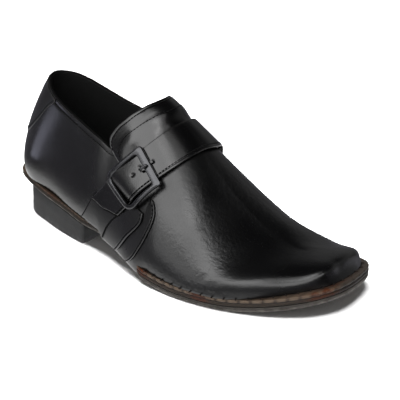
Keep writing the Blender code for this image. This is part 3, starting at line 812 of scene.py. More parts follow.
def grain_group():
    """Fine pebbled grain, small wrinkles and slow unevenness of finished leather."""
    inputs = {"Grain Scale": 900.0, "Grain Depth": 0.5, "Wrinkle Scale": 240.0, "Wrinkle Depth": 0.5}
    tree, given, result = new_group("leather_grain", inputs, ("Height", "Unevenness"))
    place = object_place(tree)
    bend = add_node(tree, "ShaderNodeTexNoise", {"Vector": place, "Scale": 120.0, "Detail": 2.0})
    shifts = {0: bend.outputs["Color"], 1: (0.004, 0.004, 0.004)}
    shifted = add_node(tree, "ShaderNodeVectorMath", shifts, operation="MULTIPLY").outputs["Vector"]
    moved = add_node(tree, "ShaderNodeVectorMath", {0: place, 1: shifted}, operation="ADD").outputs["Vector"]
    cells = {"Vector": moved, "Scale": given.outputs["Grain Scale"], "Smoothness": 0.6}
    pebble = add_node(tree, "ShaderNodeTexVoronoi", cells, feature="SMOOTH_F1").outputs["Distance"]
    wrinkle = noise(tree, moved, given.outputs["Wrinkle Scale"], 4.0, 0.6)
    grain = maths(tree, "MULTIPLY", pebble, given.outputs["Grain Depth"])
    both = maths(tree, "MULTIPLY_ADD", wrinkle, given.outputs["Wrinkle Depth"], grain)
    tree.links.new(both, result.inputs["Height"])
    tree.links.new(noise(tree, place, 30.0, 2.0), result.inputs["Unevenness"])
    return tree


def wear_group():
    """Blotches of rubbing and dust, gathered where the mask is high."""
    inputs = {"Mask": 0.0, "Blotch Scale": 220.0, "Amount": 0.5}
    tree, given, result = new_group("rubbed_wear", inputs, ("Wear",))
    blotch = noise(tree, object_place(tree), given.outputs["Blotch Scale"], 5.0, 0.65)
    share = remap(tree, blotch, 0.0, 1.0, 0.38, 0.62)
    masked = maths(tree, "MULTIPLY", share, given.outputs["Mask"])
    tree.links.new(maths(tree, "MULTIPLY", masked, given.outputs["Amount"]), result.inputs["Wear"])
    return tree


LEATHER_GRAIN = grain_group()
RUBBED_WEAR = wear_group()


def new_material(name, **constants):
    """Material with its Principled BSDF, whose constant values are set on its own sockets."""
    material = bpy.data.materials.new(name)
    material.use_nodes = True
    tree = material.node_tree
    shader = tree.nodes["Principled BSDF"]
    for label, value in constants.items():
        shader.inputs[label.replace("_", " ").title().replace("Ior", "IOR")].default_value = value
    return material, tree, shader


def mask_value(tree, name):
    return add_node(tree, "ShaderNodeAttribute", attribute_name=name).outputs["Fac"]


def two_colours(tree, share, first, second):
    mixed = add_node(tree, "ShaderNodeMix", {"Factor": share}, data_type="RGBA")
    for socket, colour in ((mixed.inputs[6], first), (mixed.inputs[7], second)):
        if isinstance(colour, bpy.types.NodeSocket):
            tree.links.new(colour, socket)
        else:
            socket.default_value = (*colour, 1.0)
    return mixed.outputs[2]


def add_bump(tree, shader, height, distance, strength):
    bump = add_node(tree, "ShaderNodeBump", {"Height": height, "Distance": distance, "Strength": strength})
    tree.links.new(bump.outputs["Normal"], shader.inputs["Normal"])
    tree.links.new(bump.outputs["Normal"], shader.inputs["Coat Normal"])


def worn(tree, mask, amount):
    """Share of rubbing where that mask is high."""
    inputs = {"Mask": mask_value(tree, mask), "Amount": amount}
    return add_node(tree, "ShaderNodeGroup", inputs, node_tree=RUBBED_WEAR).outputs["Wear"]


def polished_leather(name, gloss, grain_depth, wrinkle_depth):
    """Black polished calf: dark, softly glossy, finely grained, rubbed greyer along its edges, painted shade
    in troughs and holes.
    """
    finish = {"specular_ior_level": 0.5, "coat_weight": 0.12, "coat_roughness": 0.16}
    material, tree, shader = new_material(name, **finish)
    wrinkled = maths(tree, "MULTIPLY_ADD", mask_value(tree, "bend"), BEND_WRINKLES, wrinkle_depth)
    depths = {"Grain Depth": grain_depth, "Wrinkle Depth": wrinkled}
    grain = add_node(tree, "ShaderNodeGroup", depths, node_tree=LEATHER_GRAIN)
    colour = two_colours(tree, worn(tree, "edge", 0.8), (0.0006, 0.0006, 0.0007), (0.012, 0.0115, 0.011))
    # Painted shade, near black, in the collar's stitch trough and in the punched holes.
    colour = two_colours(tree, mask_value(tree, "hollow_shade"), colour, (0.001, 0.001, 0.001))
    tree.links.new(colour, shader.inputs["Base Color"])
    rough = remap(tree, grain.outputs["Unevenness"], gloss - 0.05, gloss + 0.07, 0.3, 0.7)
    polished = maths(tree, "MULTIPLY_ADD", mask_value(tree, "polish"), POLISH_ROUGHNESS, rough)
    tree.links.new(polished, shader.inputs["Roughness"])
    add_bump(tree, shader, grain.outputs["Height"], distance=0.00025, strength=0.22)
    return material


def black_edge_and_shade():
    """Cut edges, matte and black; the same black is painted shade in punched holes and painted shadow in
    strips along edges.
    """
    material, _, shader = new_material("black_edge_and_shade", roughness=0.8, specular_ior_level=0.06)
    shader.inputs["Base Color"].default_value = (0.0012, 0.0012, 0.0012, 1.0)
    return material


def lining_cloth():
    material, tree, shader = new_material("collar_lining", roughness=0.75, specular_ior_level=0.3)
    weave = noise(tree, object_place(tree), 900.0, 2.0)
    colour = two_colours(tree, weave, (0.002, 0.002, 0.002), (0.007, 0.007, 0.007))
    tree.links.new(colour, shader.inputs["Base Color"])
    add_bump(tree, shader, weave, distance=0.0003, strength=0.3)
    return material


def welt_leather():
    """Waxed brown edge: pale tan between the stitches, painted shade at them and in the grooves, orange
    burnish in spots.
    """
    material, tree, shader = new_material("welt_edge", specular_ior_level=0.2)
    stretch = {"Vector": object_place(tree), "Scale": (1.0, 1.0, 5.0)}
    stretched = add_node(tree, "ShaderNodeMapping", stretch).outputs["Vector"]
    streak = noise(tree, stretched, 140.0, 5.0, 0.65)
    colour = two_colours(tree, streak, (0.005, 0.003, 0.002), (0.036, 0.023, 0.014))
    # Pale tan of the upper layer, held back where shade is painted at stitches and grooves.
    colour = two_colours(tree, mask_value(tree, "tan_less_shade"), colour, (0.104, 0.073, 0.050))
    colour = two_colours(tree, worn(tree, "burnish", 2.0), colour, (0.043, 0.009, 0.001))
    # Painted shade in the grooves, over the lip and along the top under the upper.
    colour = two_colours(tree, mask_value(tree, "groove"), colour, (0.006, 0.004, 0.003))
    colour = two_colours(tree, mask_value(tree, "shade"), colour, (0.016, 0.013, 0.011))
    tree.links.new(colour, shader.inputs["Base Color"])
    tree.links.new(remap(tree, streak, 0.40, 0.65), shader.inputs["Roughness"])
    add_bump(tree, shader, streak, distance=0.0006, strength=0.35)
    return material


def sole_rubber(name, dark, pale, roughness):
    """Matte rubber with a fine moulded tooth and a paler rubbed edge."""
    material, tree, shader = new_material(name, specular_ior_level=0.25)
    place = object_place(tree)
    tooth = noise(tree, place, 700.0, 3.0)
    cloud = noise(tree, place, 45.0, 4.0)
    rubbed = tuple(1.6 * channel + 0.045 for channel in pale)
    colour = two_colours(tree, cloud, dark, pale)
    colour = two_colours(tree, worn(tree, "edge", 1.1), colour, rubbed)
    colour = two_colours(tree, mask_value(tree, "shade"), colour, (0.014, 0.009, 0.006))
    tree.links.new(colour, shader.inputs["Base Color"])
    rough = remap(tree, cloud, roughness - 0.08, roughness + 0.08)
    tree.links.new(rough, shader.inputs["Roughness"])
    add_bump(tree, shader, tooth, distance=0.0003, strength=0.25)
    return material


def dark_metal():
    """Black-plated steel, polished, with faint cloudy brushing."""
    material, tree, shader = new_material("buckle_plating", metallic=1.0)
    cloud = noise(tree, object_place(tree), 260.0, 4.0)
    colour = two_colours(tree, cloud, (0.048, 0.049, 0.052), (0.075, 0.075, 0.078))
    tree.links.new(colour, shader.inputs["Base Color"])
    tree.links.new(remap(tree, cloud, 0.20, 0.34), shader.inputs["Roughness"])
    add_bump(tree, shader, cloud, distance=0.0001, strength=0.08)
    return material


def waxed_thread(name, colour, roughness, specular):
    material, tree, shader = new_material(name, roughness=roughness, specular_ior_level=specular)
    twist = noise(tree, object_place(tree), 3000.0, 1.0)
    lighter = tuple(2.0 * channel for channel in colour)
    tree.links.new(two_colours(tree, twist, colour, lighter), shader.inputs["Base Color"])
    return material


def row_length(points, axis):
    """Distance run along a grid of points from its first row or column."""
    steps = np.linalg.norm(np.diff(points, axis=axis), axis=-1)
    start = np.zeros_like(np.take(steps, [0], axis=axis))
    return np.concatenate([start, np.cumsum(steps, axis=axis)], axis=axis)


def upper_columns():
    loop = np.arange(UPPER_COLUMNS) * 2.0 / UPPER_COLUMNS
    medial = loop > 1
    return loop, np.where(medial, 2 - loop, loop), medial


def even_heights(loop, top, count):
    """Heights from the sole edge to the top that lie evenly along each section."""
    fine = np.linspace(0, 1, SECTION_STEPS)
    heights = top[:, None] * fine
    runs = row_length(last_point(np.repeat(loop[:, None], len(fine), axis=1), heights), 1)
    wanted = np.linspace(0, 1, count)
    return np.stack([np.interp(wanted * run[-1], run, row) for run, row in zip(runs, heights)])


def soften_ridge_end(points):
    """Smooth surface through the sections where they fan out from the front end of the ridge."""
    off = (points[..., :2] - RIDGE_END) / RIDGE_END_REACH
    away = np.linalg.norm(off, axis=-1)
    near = away < 1
    x, y = off[near].T
    powers = [(i, j) for i in range(RIDGE_END_POWERS) for j in range(RIDGE_END_POWERS - i)]
    terms = np.stack([x**i * y**j for i, j in powers], axis=-1)
    weight = np.sqrt(away[near])
    shape = np.linalg.lstsq(terms * weight[:, None], points[near][:, 2] * weight, rcond=None)[0]
    blend = smooth_step((1 - away[near]) * RIDGE_END_REACH / RIDGE_END_FADE)
    points[near, 2] += blend * (terms @ shape - points[near, 2])


def upper_faces(is_open):
    """Faces of the upper's shell and the material of each, without the rim where the collar is closed."""
    rows = OUTER_ROWS + INNER_ROWS + 2 * RIM_ROWS
    last_outer = OUTER_ROWS - 1
    first_inner = last_outer + RIM_ROWS
    row_material = [0] * rows
    row_material[last_outer:first_inner] = [2] * RIM_ROWS
    row_material[first_inner : first_inner + INNER_ROWS] = [1] * INNER_ROWS
    faces = []
    face_material = []
    for i in range(UPPER_COLUMNS):
        after = (i + 1) % UPPER_COLUMNS
        closed = not (is_open[i] or is_open[after])
        for j in range(rows):
            if closed and last_outer <= j <= first_inner:
                continue
            faces.append(quad(rows, i, after, j, (j + 1) % rows))
            face_material.append(row_material[j])
    return faces, face_material


def add_upper(leather, lining, cut):
    """Shell of the upper: up the outside, over the rounded collar edge, down the lining, round the foot."""
    loop, station, medial = upper_columns()
    collar = collar_height(loop)
    mirrored = np.roll(collar[::-1], 1)
    is_open = (collar < 1) | (mirrored < 1)
    half = UPPER_THICK / 2
    outer = np.linspace(0, 1, OUTER_ROWS)
    inner = np.linspace(1, 0, INNER_ROWS)
    turn = np.linspace(0, np.pi, RIM_ROWS + 2)[1:-1]
    share = np.concatenate([outer, np.ones(RIM_ROWS), inner, np.zeros(RIM_ROWS)])
    over_rim = half * np.cos(turn) - half
    under_foot = -half - half * np.cos(turn)
    lift = np.concatenate([0 * outer, over_rim, 0 * inner - UPPER_THICK, under_foot])
    rise = np.concatenate([0 * outer, half * np.sin(turn), 0 * inner, -half * np.sin(turn)])
    height = collar[:, None] * share
    height[:, :OUTER_ROWS] = even_heights(loop, collar, OUTER_ROWS)
    girth = np.where(medial[:, None], 2 - height, height)
    stations = np.repeat(station[:, None], len(share), axis=1)
    normal, around = form_directions(stations, girth)
    up = np.where(medial[:, None, None], -around, around)
    base = form_point(stations, girth)
    below_collar = row_length(base[:, :OUTER_ROWS], 1)
    below_collar = below_collar[:, -1:] - below_collar
    to_stitches = below_collar - COLLAR_STITCH_DROP
    relief = fold_relief(stations[:, :OUTER_ROWS], girth[:, :OUTER_ROWS])
    stitched = is_open[:, None] * groove(to_stitches, COLLAR_TROUGH, COLLAR_TROUGH_DEPTH)
    lifts = np.repeat(lift[None, :], UPPER_COLUMNS, axis=0)
    lifts[:, :OUTER_ROWS] += relief + stitched
    rounding = np.where(rise > 0, smooth_step((1 - collar[:, None]) / COLLAR_ROUND_END), 1.0) * rise
    points = base + normal * lifts[..., None] + up * rounding[..., None]
    soften_ridge_end(points[:, :OUTER_ROWS])

    masks = {"edge": np.zeros(base.shape[:2]), "hollow_shade": np.zeros(base.shape[:2])}
    masks["edge"][:, :OUTER_ROWS] = np.exp(-below_collar / COLLAR_RUB) * is_open[:, None]
    # Painted shade, near black, along the collar's stitch trough.
    masks["hollow_shade"][:, :OUTER_ROWS] = is_open[:, None] * np.exp(-((to_stitches / COLLAR_TROUGH_DARK) ** 2))
    heel_polish = HEEL_POLISH * smooth_step((HEEL_POLISH_END_X - base[..., 0]) / POLISH_FADE)
    toe_polish = TOE_POLISH * smooth_step((base[..., 0] - TOE_POLISH_START_X) / POLISH_FADE)
    masks["polish"] = heel_polish + toe_polish
    masks["bend"] = np.exp(-(((base[..., 0] - BEND_X) / BEND_REACH) ** 2))
    faces, face_material = upper_faces(is_open)
    materials = [leather, lining, cut]
    upper = add_piece("upper_shell", points.reshape(-1, 3), faces, materials, masks, face_material)
    dress(upper, "upper_leather", "upper")


def edge_drop(distance, radius):
    """How far a rounded border falls below the top, from the distance to its edge."""
    inside = np.clip(radius - distance, 0, radius)
    return radius - np.sqrt(radius**2 - inside**2)


def close_spacing(count):
    """Shares from 0 to 1, closer together at both ends."""
    even = np.linspace(0, 1, count)
    return even - END_CROWDING * np.sin(2 * np.pi * even)


def band_place(table, girth, share):
    """Station, girth and lift on a band, from its own rows and the share from its rear to its front edge."""
    rear = open_curve(table, "rear_x")(girth)
    front = open_curve(table, "front_x")(girth)
    lift = open_curve(table, "lift")(girth)
    rise = open_curve(table, "front_rise")(girth)
    return station_at(rear + (front - rear) * share), girth + rise * (share - 0.5), lift


def flap_puff(girth, share):
    """How far the flap's rear half stands up over the instep, and swells beside the strap."""
    along_edge = np.exp(-(((girth - FLAP_PUFF_GIRTH) / FLAP_PUFF_REACH) ** 2))
    along_edge = along_edge * smooth_step((FLAP_PUFF_SHARE - share) / FLAP_PUFF_FADE)
    off_girth = (girth - FLAP_SWELL_GIRTH) / FLAP_SWELL_GIRTH_REACH
    off_share = (share - FLAP_SWELL_SHARE) / FLAP_SWELL_SHARE_REACH
    swell = np.exp(-(off_girth**2) - off_share**2)
    edge_dip = 1 - FLAP_EDGE_DIP * np.exp(-share / FLAP_EDGE_REACH)
    return FLAP_PUFF * along_edge * edge_dip + FLAP_SWELL * swell


def strap_arch(girth, share):
    """How far the strap arches up inside the buckle's window."""
    reach = np.where(girth < STRAP_ARCH_GIRTH, STRAP_ARCH_REACH_DOWN, STRAP_ARCH_REACH_UP)
    return STRAP_ARCH * np.exp(-(((girth - STRAP_ARCH_GIRTH) / reach) ** 2)) + 0 * share


def facing_tilt(girth, share):
    """How far the front of the facing or of the strap's foot stands out over its rear."""
    return FACING_TILT * (share - FACING_TILT_SHARE) + 0 * girth


def add_sheet(name, high, low, to_edge, hollow_shade, materials):
    """Closed sheet between two grids of points. Its border and its holes take the last material, which in
    the holes is painted shade.
    """
    along, across = to_edge.shape
    count = along * across
    faces = grid_faces(along, across)
    faces += [tuple(count + corner for corner in face[::-1]) for face in faces]
    index = np.arange(count).reshape(along, across)
    rim = np.concatenate([index[0, :-1], index[:-1, -1], index[-1, :0:-1], index[:0:-1, 0]])
    for a, b in zip(rim.tolist(), np.roll(rim, -1).tolist()):
        faces.append((a, b, b + count, a + count))
    edge = np.exp(-to_edge / EDGE_RUB)
    masks = {"edge": np.concatenate([edge, edge]), "hollow_shade": np.concatenate([hollow_shade, 0 * hollow_shade])}
    points = np.concatenate([high.reshape(-1, 3), low.reshape(-1, 3)])
    in_hole = hollow_shade.ravel() > HOLE_DARK
    face_material = [int(face[0] < count and in_hole[list(face)[:2]].all()) for face in faces]
    face_material[-len(rim) :] = [len(materials) - 1] * len(rim)
    return add_piece(name, points, faces, materials, masks, face_material)


def add_band(
    name, table, materials, nodes=(), *, thick, radius, along, across, stitch_lines=(), holes=(), puff=None
):
    """Strip of leather on the last, with a rounded border, sunk lines of stitches and punched holes with
    painted shade.
    """
    reach = table[-1].girth - table[0].girth
    girth = np.repeat(table[0].girth + reach * close_spacing(along)[:, None], across, axis=1)
    share = np.repeat(close_spacing(across)[None, :], along, axis=0)
    station, place, lift = band_place(table, girth, share)
    if puff:
        lift = lift + puff(girth, share)
    top = form_offset(station, place, lift + thick)
    run = row_length(top, 0)
    width = row_length(top, 1)
    to_front = width[:, -1:] - width
    to_edge = np.minimum(np.minimum(width, to_front), np.minimum(run, run[-1:] - run))
    sunk = -edge_drop(to_edge, radius)
    for side, inset in stitch_lines:
        to_line = (width if side == "rear" else to_front) - inset
        sunk += groove(to_line, STITCH_TROUGH, STITCH_TROUGH_DEPTH)
    # Painted shade in each punched hole, black at its middle.
    hollow_shade = np.zeros_like(sunk)
    for hole in holes:
        rise = float(puff(hole.girth, 0.5)) if puff else 0.0
        above = np.array(HOLE_LIFT + thick + rise)
        centre = form_offset(station_at(hole.spine_x), np.array(hole.girth), above)
        away = np.linalg.norm(top - centre, axis=-1)
        pit = smooth_step((HOLE_RADIUS + HOLE_RIM - away) / HOLE_FADE)
        hollow_shade = np.maximum(hollow_shade, pit)
        sunk -= pit * HOLE_DEPTH
    high = form_offset(station, place, lift + thick + sunk)
    low = form_offset(station, place, lift - BAND_SINK)
    dress(add_sheet(name, high, low, to_edge, hollow_shade, materials), "upper_leather", *nodes)


def heel_tab_place(side, share):
    """Height on the heel tab, from its lower edge to under the collar, at a station (medial negative)."""
    low = np.where(
        side < 0,
        open_curve(HEEL_TAB, "medial_low")(-side),
        open_curve(HEEL_TAB, "lateral_low")(side),
    )
    top = collar_height(side) - HEEL_TAB_TOP_MARGIN
    return low + (top - low) * share


def add_heel_tab(material):
    reach = HEEL_TAB[-1].station
    side = np.repeat(np.linspace(-reach, reach, HEEL_TAB_ALONG)[:, None], HEEL_TAB_ACROSS, axis=1)
    share = np.repeat(close_spacing(HEEL_TAB_ACROSS)[None, :], HEEL_TAB_ALONG, axis=0)
    height = heel_tab_place(side, share)
    top = form_offset(side, height, GAP + HEEL_TAB_THICK + 0 * height)
    width = row_length(top, 1)
    to_edge = np.minimum(width, width[:, -1:] - width)
    stitched = groove(width - HEEL_TAB_STITCH_INSET, STITCH_TROUGH, STITCH_TROUGH_DEPTH)
    sunk = stitched - edge_drop(to_edge, HEEL_TAB_ROUNDING)
    high = form_offset(side, height, GAP + HEEL_TAB_THICK + sunk)
    low = form_offset(side, height, 0 * height)
    tab = add_sheet("heel_tab_patch", high, low, to_edge, 0 * to_edge, [material])
    dress(tab, "upper_leather", "heel_tab")


def outline_loop(table, points):
    """Closed outline in plan: lateral side from back to front, then the medial side to the back."""
    lateral = [(row.lateral_x, row.lateral_y) for row in table]
    medial = [(row.medial_x, row.medial_y) for row in table]
    _, curve = two_sided_loop(lateral, medial, slice(0, 2))
    return curve(np.arange(points) * 2.0 / points)


def inward_of(loop):
    ahead = np.roll(loop, -1, axis=0) - np.roll(loop, 1, axis=0)
    return unit(np.stack([-ahead[:, 1], ahead[:, 0]], axis=-1))


def add_plate(name, loop, levels, material, masks):
    """Closed layer of the sole: one ring of points for each level, ladders of faces as its two caps."""
    count = len(loop)
    inward = inward_of(loop)
    rings = []
    for inset, height in levels:
        plan = loop + inward * np.reshape(inset, (-1, 1))
        rings.append(np.column_stack([plan, height(plan[:, 0])]))
    faces = grid_faces(len(levels), count, wrap_columns=True)
    for cap in (0, (len(levels) - 1) * count):
        faces.append((cap, cap + 1, cap + count - 1))
        for i in range(1, count // 2 - 1):
            faces.append((cap + i, cap + i + 1, cap + count - i - 1, cap + count - i))
        faces.append((cap + count // 2 - 1, cap + count // 2, cap + count // 2 + 1))
    return add_piece(name, np.concatenate(rings), faces, [material], masks)


def loop_distance(loop):
    return np.concatenate([[0], np.cumsum(np.linalg.norm(np.diff(loop, axis=0), axis=1))])


def over_heel(x):
    """1 over the heel, 0 from just in front of it."""
    return smooth_step((HEEL_FRONT_X - x) / HEEL_FRONT_FADE)


def stitch_pinch(run, pitch, reach):
    """1 at each stitch along that run, falling to 0 between them."""
    away = np.abs(run / pitch - np.round(run / pitch)) * pitch
    return np.exp(-((away / reach) ** 2))


def add_welt(material):
    """Two rounded layers with a groove between, the upper one pinched at each stitch."""
    loop = outline_loop(SOLE, SOLE_POINTS)
    run = loop_distance(loop)
    heelward = over_heel(loop[:, 0])
    toeward = smooth_step((loop[:, 1] - TOE_SHADE_Y) / TOE_SHADE_FADE_Y)
    toeward = toeward * smooth_step((loop[:, 0] - TOE_SHADE_X) / TOE_SHADE_FADE_X)
    pinch = stitch_pinch(run, WELT_STITCH_PITCH, WELT_PINCH_REACH)
    pinch = np.maximum(pinch, heelward * stitch_pinch(run, WELT_STITCH_PITCH / 2, HEEL_PINCH_REACH))
    burnish = np.zeros(SOLE_POINTS)
    for spot in BURNISHES:
        away = np.hypot(loop[:, 0] - spot.x, loop[:, 1] - spot.y)
        burnish = np.maximum(burnish, spot.strength * np.exp(-((away / spot.reach) ** 2)))
    levels = []
    for layer in WELT_LAYERS:
        for u in BEAD_TURNS:
            height = layer.start + layer.span * (u + 1) / 2
            bead = BEAD_DEPTH * (1 - np.sqrt(1 - u * u))
            levels.append(Level(height, bead, layer.upper, abs(u) ** GROOVE_POWER))
    rings = []
    tan_less_shade = []
    grooves = []
    paler = WELT_TAN - WELT_TAN_LOSS_HEEL * heelward
    for level in levels:
        inset = level.inset + level.upper * WELT_PINCH_DEPTH * pinch
        rings.append((inset, lambda x, share=level.height: welt_low_z(x) + welt_thick(x) * share))
        # Tan of the upper layer, less over the heel, cut back by painted shade at each stitch and toward the
        # grooves.
        tan_less_shade.append(level.upper * (1 - pinch) * paler * (1 - WELT_TAN_LOSS_SHADE * level.groove))
        # Painted shade in the grooves, less over the lip.
        darkness = GROOVE_DARK if level.upper == 0 or level.height < LIP_START else LIP_DARK
        grooves.append(level.groove * darkness + 0 * pinch)
    rings.append((BEAD_DEPTH + WELT_LIP + WELT_PINCH_DEPTH * pinch, welt_top_z))
    tan_less_shade.append(WELT_TOP_TAN * (1 - pinch))
    # Painted shade along the top under the upper, more at stitches and round the toe, less over the heel.
    grooves.append(TOP_DARK + TOP_DARK_PINCH * pinch + TOP_DARK_TOE * toeward + TOP_DARK_HEEL * heelward)
    masks = {
        "tan_less_shade": np.concatenate(tan_less_shade),
        "groove": np.clip(np.concatenate(grooves), 0, 1),
        "burnish": np.tile(burnish, len(rings)),
        "shade": np.tile(TOE_SHADE * toeward, len(rings)),
    }
    dress(add_plate("welt_layers", loop, rings, material, masks), "welt_leather", "welt")


def add_outsole(material):
    """Thin tread layer with a rounded lower edge that shows paler."""
    loop = outline_loop(SOLE, SOLE_POINTS)
    rings = []
    edges = []
    for turn in EDGE_TURNS:
        inset = OUTSOLE_INSET + OUTSOLE_ROUNDING * (1 - np.sin(turn))
        rings.append((inset, lambda x, rise=OUTSOLE_ROUNDING * (1 - np.cos(turn)): underside_z(x) + rise))
        edges.append(np.full(SOLE_POINTS, np.sin(turn)))
    for ring in OUTSOLE_WALL:
        rings.append((ring.inset, lambda x, r=ring: underside_z(x) + r.share * outsole_thick(x) - r.drop))
        edges.append(np.full(SOLE_POINTS, ring.rubbed))
    edge = np.concatenate(edges)
    shade = OUTSOLE_HEEL_SHADE * np.tile(over_heel(loop[:, 0]), len(rings)) * (1 - edge)
    masks = {"edge": edge, "shade": shade}
    dress(add_plate("outsole_tread", loop, rings, material, masks), "outsole_rubber", "outsole")


def add_heel(material):
    loop = outline_loop(HEEL, HEEL_POINTS)
    rings = []
    edges = []
    for turn in EDGE_TURNS:
        inset = HEEL_FLARE + HEEL_ROUNDING * (1 - np.sin(turn))
        rings.append((inset, lambda x, rise=HEEL_ROUNDING * (1 - np.cos(turn)): 0 * x + rise))
        edges.append(np.full(HEEL_POINTS, HEEL_EDGE_RUBBED * np.sin(turn)))
    for share in HEEL_WALL_SHARES:
        rings.append((HEEL_FLARE * (1 - share), lambda x, share=share: share * (underside_z(x) - GAP)))
        edges.append(np.full(HEEL_POINTS, HEEL_WALL_RUBBED))
    rings.append((HEEL_TOP_INSET, lambda x: underside_z(x) - GAP))
    edges.append(np.zeros(HEEL_POINTS))
    masks = {"edge": np.concatenate(edges)}
    dress(add_plate("heel_block", loop, rings, material, masks), "heel_rubber", "heel")


def add_footbed(lining):
    """Footbed: a lining-covered board with a soft rolled border."""
    edge = LAST_ROWS(np.arange(SOLE_POINTS) * 2.0 / SOLE_POINTS)[:, 3:5]
    rings = [(INSOLE_INSET, lambda x: welt_top_z(x) + GAP)]
    for turn in EDGE_TURNS:
        inset = INSOLE_INSET + INSOLE_ROLL * (1 - np.cos(turn))
        roll = INSOLE_ROLL * np.sin(turn)
        rings.append((inset, lambda x, r=roll: welt_top_z(x) + GAP + INSOLE_THICK - INSOLE_ROLL + r))
    dress(add_plate("footbed", edge, rings, lining, {}), "insole_lining", "insole")


def rounded_rectangle(length_start, length_end, half_width, start_radius, end_radius):
    """Closed outline with as many points at each corner and side, so that two of them match."""
    turns = np.linspace(0, np.pi / 2, CORNER_POINTS)
    corners = (
        (length_end - end_radius, half_width - end_radius, end_radius, 0.0),
        (length_start + start_radius, half_width - start_radius, start_radius, np.pi / 2),
        (length_start + start_radius, start_radius - half_width, start_radius, np.pi),
        (length_end - end_radius, end_radius - half_width, end_radius, 1.5 * np.pi),
    )
    arcs = []
    for along, across, radius, first in corners:
        x = along + radius * np.cos(first + turns)
        y = across + radius * np.sin(first + turns)
        arcs.append(np.stack([x, y], axis=-1))
    points = []
    for arc, following in zip(arcs, arcs[1:] + arcs[:1]):
        share = np.arange(1, SIDE_POINTS + 1)[:, None] / (SIDE_POINTS + 1)
        points.append(arc)
        points.append(arc[-1] + share * (following[0] - arc[-1]))
    return np.concatenate(points)


def on_strap(along, across, rise):
    """Point above the strap: millimetres along it from the frame's rear bar, and across from its middle."""
    share = along / FRAME_LENGTH
    side = across / STRAP_WIDTH
    girth = FRAME_GIRTH_REAR + share * (FRAME_GIRTH_FRONT - FRAME_GIRTH_REAR)
    girth = girth - side * (FRAME_SKEW_REAR + share * (FRAME_SKEW_FRONT - FRAME_SKEW_REAR))
    rear = open_curve(STRAP, "rear_x")(girth)
    front = open_curve(STRAP, "front_x")(girth)
    station = station_at(rear + (front - rear) * (0.5 + side))
    lift = open_curve(STRAP, "lift")(girth) + STRAP_THICK + FRAME_GAP + rise
    return form_offset(station, girth, lift)


def add_buckle_ring(metal):
    half = FRAME_WIDTH / 2
    window_half = half - FRAME_SIDE_BAR
    outer = rounded_rectangle(0, FRAME_LENGTH, half, FRAME_REAR_RADIUS, FRAME_FRONT_RADIUS)
    inner = rounded_rectangle(
        FRAME_REAR_BAR, WINDOW_END, window_half, WINDOW_REAR_RADIUS, WINDOW_FRONT_RADIUS
    )
    for loop in (outer, inner):
        rearward = smooth_step(1 - loop[:, 0] / (FRAME_LENGTH / 2))
        loop[:, 0] -= FRAME_REAR_BOW * rearward * (1 - (loop[:, 1] / half) ** 2)
        loop[:, 1] += FRAME_SHIFT
    bar = np.linalg.norm(inner - outer, axis=1)
    bevel = FRAME_BEVEL / bar
    shares = [0 * bar]
    rises = [0.0]
    for turn in BEVEL_TURNS:
        shares.append(bevel * (1 - np.cos(turn)))
        rises.append(FRAME_THICK - FRAME_BEVEL + FRAME_BEVEL * np.sin(turn))
    for across in FRAME_CROWN_SHARES:
        shares.append(bevel + (1 - 2 * bevel) * across)
        rises.append(FRAME_THICK + FRAME_CROWN)
    for turn in BEVEL_TURNS[::-1]:
        shares.append(1 - bevel * (1 - np.cos(turn)))
        rises.append(FRAME_THICK - FRAME_BEVEL + FRAME_BEVEL * np.sin(turn))
    shares.append(0 * bar + 1)
    rises.append(0.0)
    rings = []
    for share, rise in zip(shares, rises):
        loop = outer + (inner - outer) * share[:, None]
        rings.append(on_strap(loop[:, 0], loop[:, 1], np.full(len(loop), rise)))
    faces = grid_faces(len(rings), len(outer), wrap_rows=True, wrap_columns=True)
    ring = add_piece("buckle_ring", np.concatenate(rings), faces, [metal])
    dress(ring, "buckle_metal", "buckle_frame")


def add_buckle_pin(metal):
    """Prong: a round pin that climbs from the strap onto the broad bar."""
    girth = np.linspace(PRONG_GIRTH_START, PRONG_GIRTH_END, PRONG_STEPS)
    along = (girth - FRAME_GIRTH_REAR) / (FRAME_GIRTH_FRONT - FRAME_GIRTH_REAR) * FRAME_LENGTH
    climb = smooth_step((along - along[0]) / (WINDOW_END - PRONG_RADIUS - along[0]))
    rise = PRONG_RADIUS + climb * (FRAME_THICK + FRAME_GAP)
    to_tip = np.clip((along[-1] - along) / PRONG_RADIUS, 0, 1)
    thin = PRONG_RADIUS * np.sqrt(np.maximum(1 - (1 - to_tip) ** 2, PRONG_TIP))
    sides = np.linspace(0, 2 * np.pi, PRONG_SIDES, endpoint=False)
    rings = []
    for place, height, radius in zip(along, rise, thin):
        across = PRONG_ACROSS * STRAP_WIDTH + radius * np.cos(sides)
        rings.append(on_strap(place + 0 * sides, across, height + radius * np.sin(sides)))
    faces = grid_faces(PRONG_STEPS, PRONG_SIDES, wrap_columns=True)
    faces.append(tuple(range(PRONG_SIDES)))
    faces.append(tuple(range((PRONG_STEPS - 1) * PRONG_SIDES, PRONG_STEPS * PRONG_SIDES)))
    pin = add_piece("buckle_pin", np.concatenate(rings), faces, [metal])
    dress(pin, "buckle_metal", "buckle_prong")


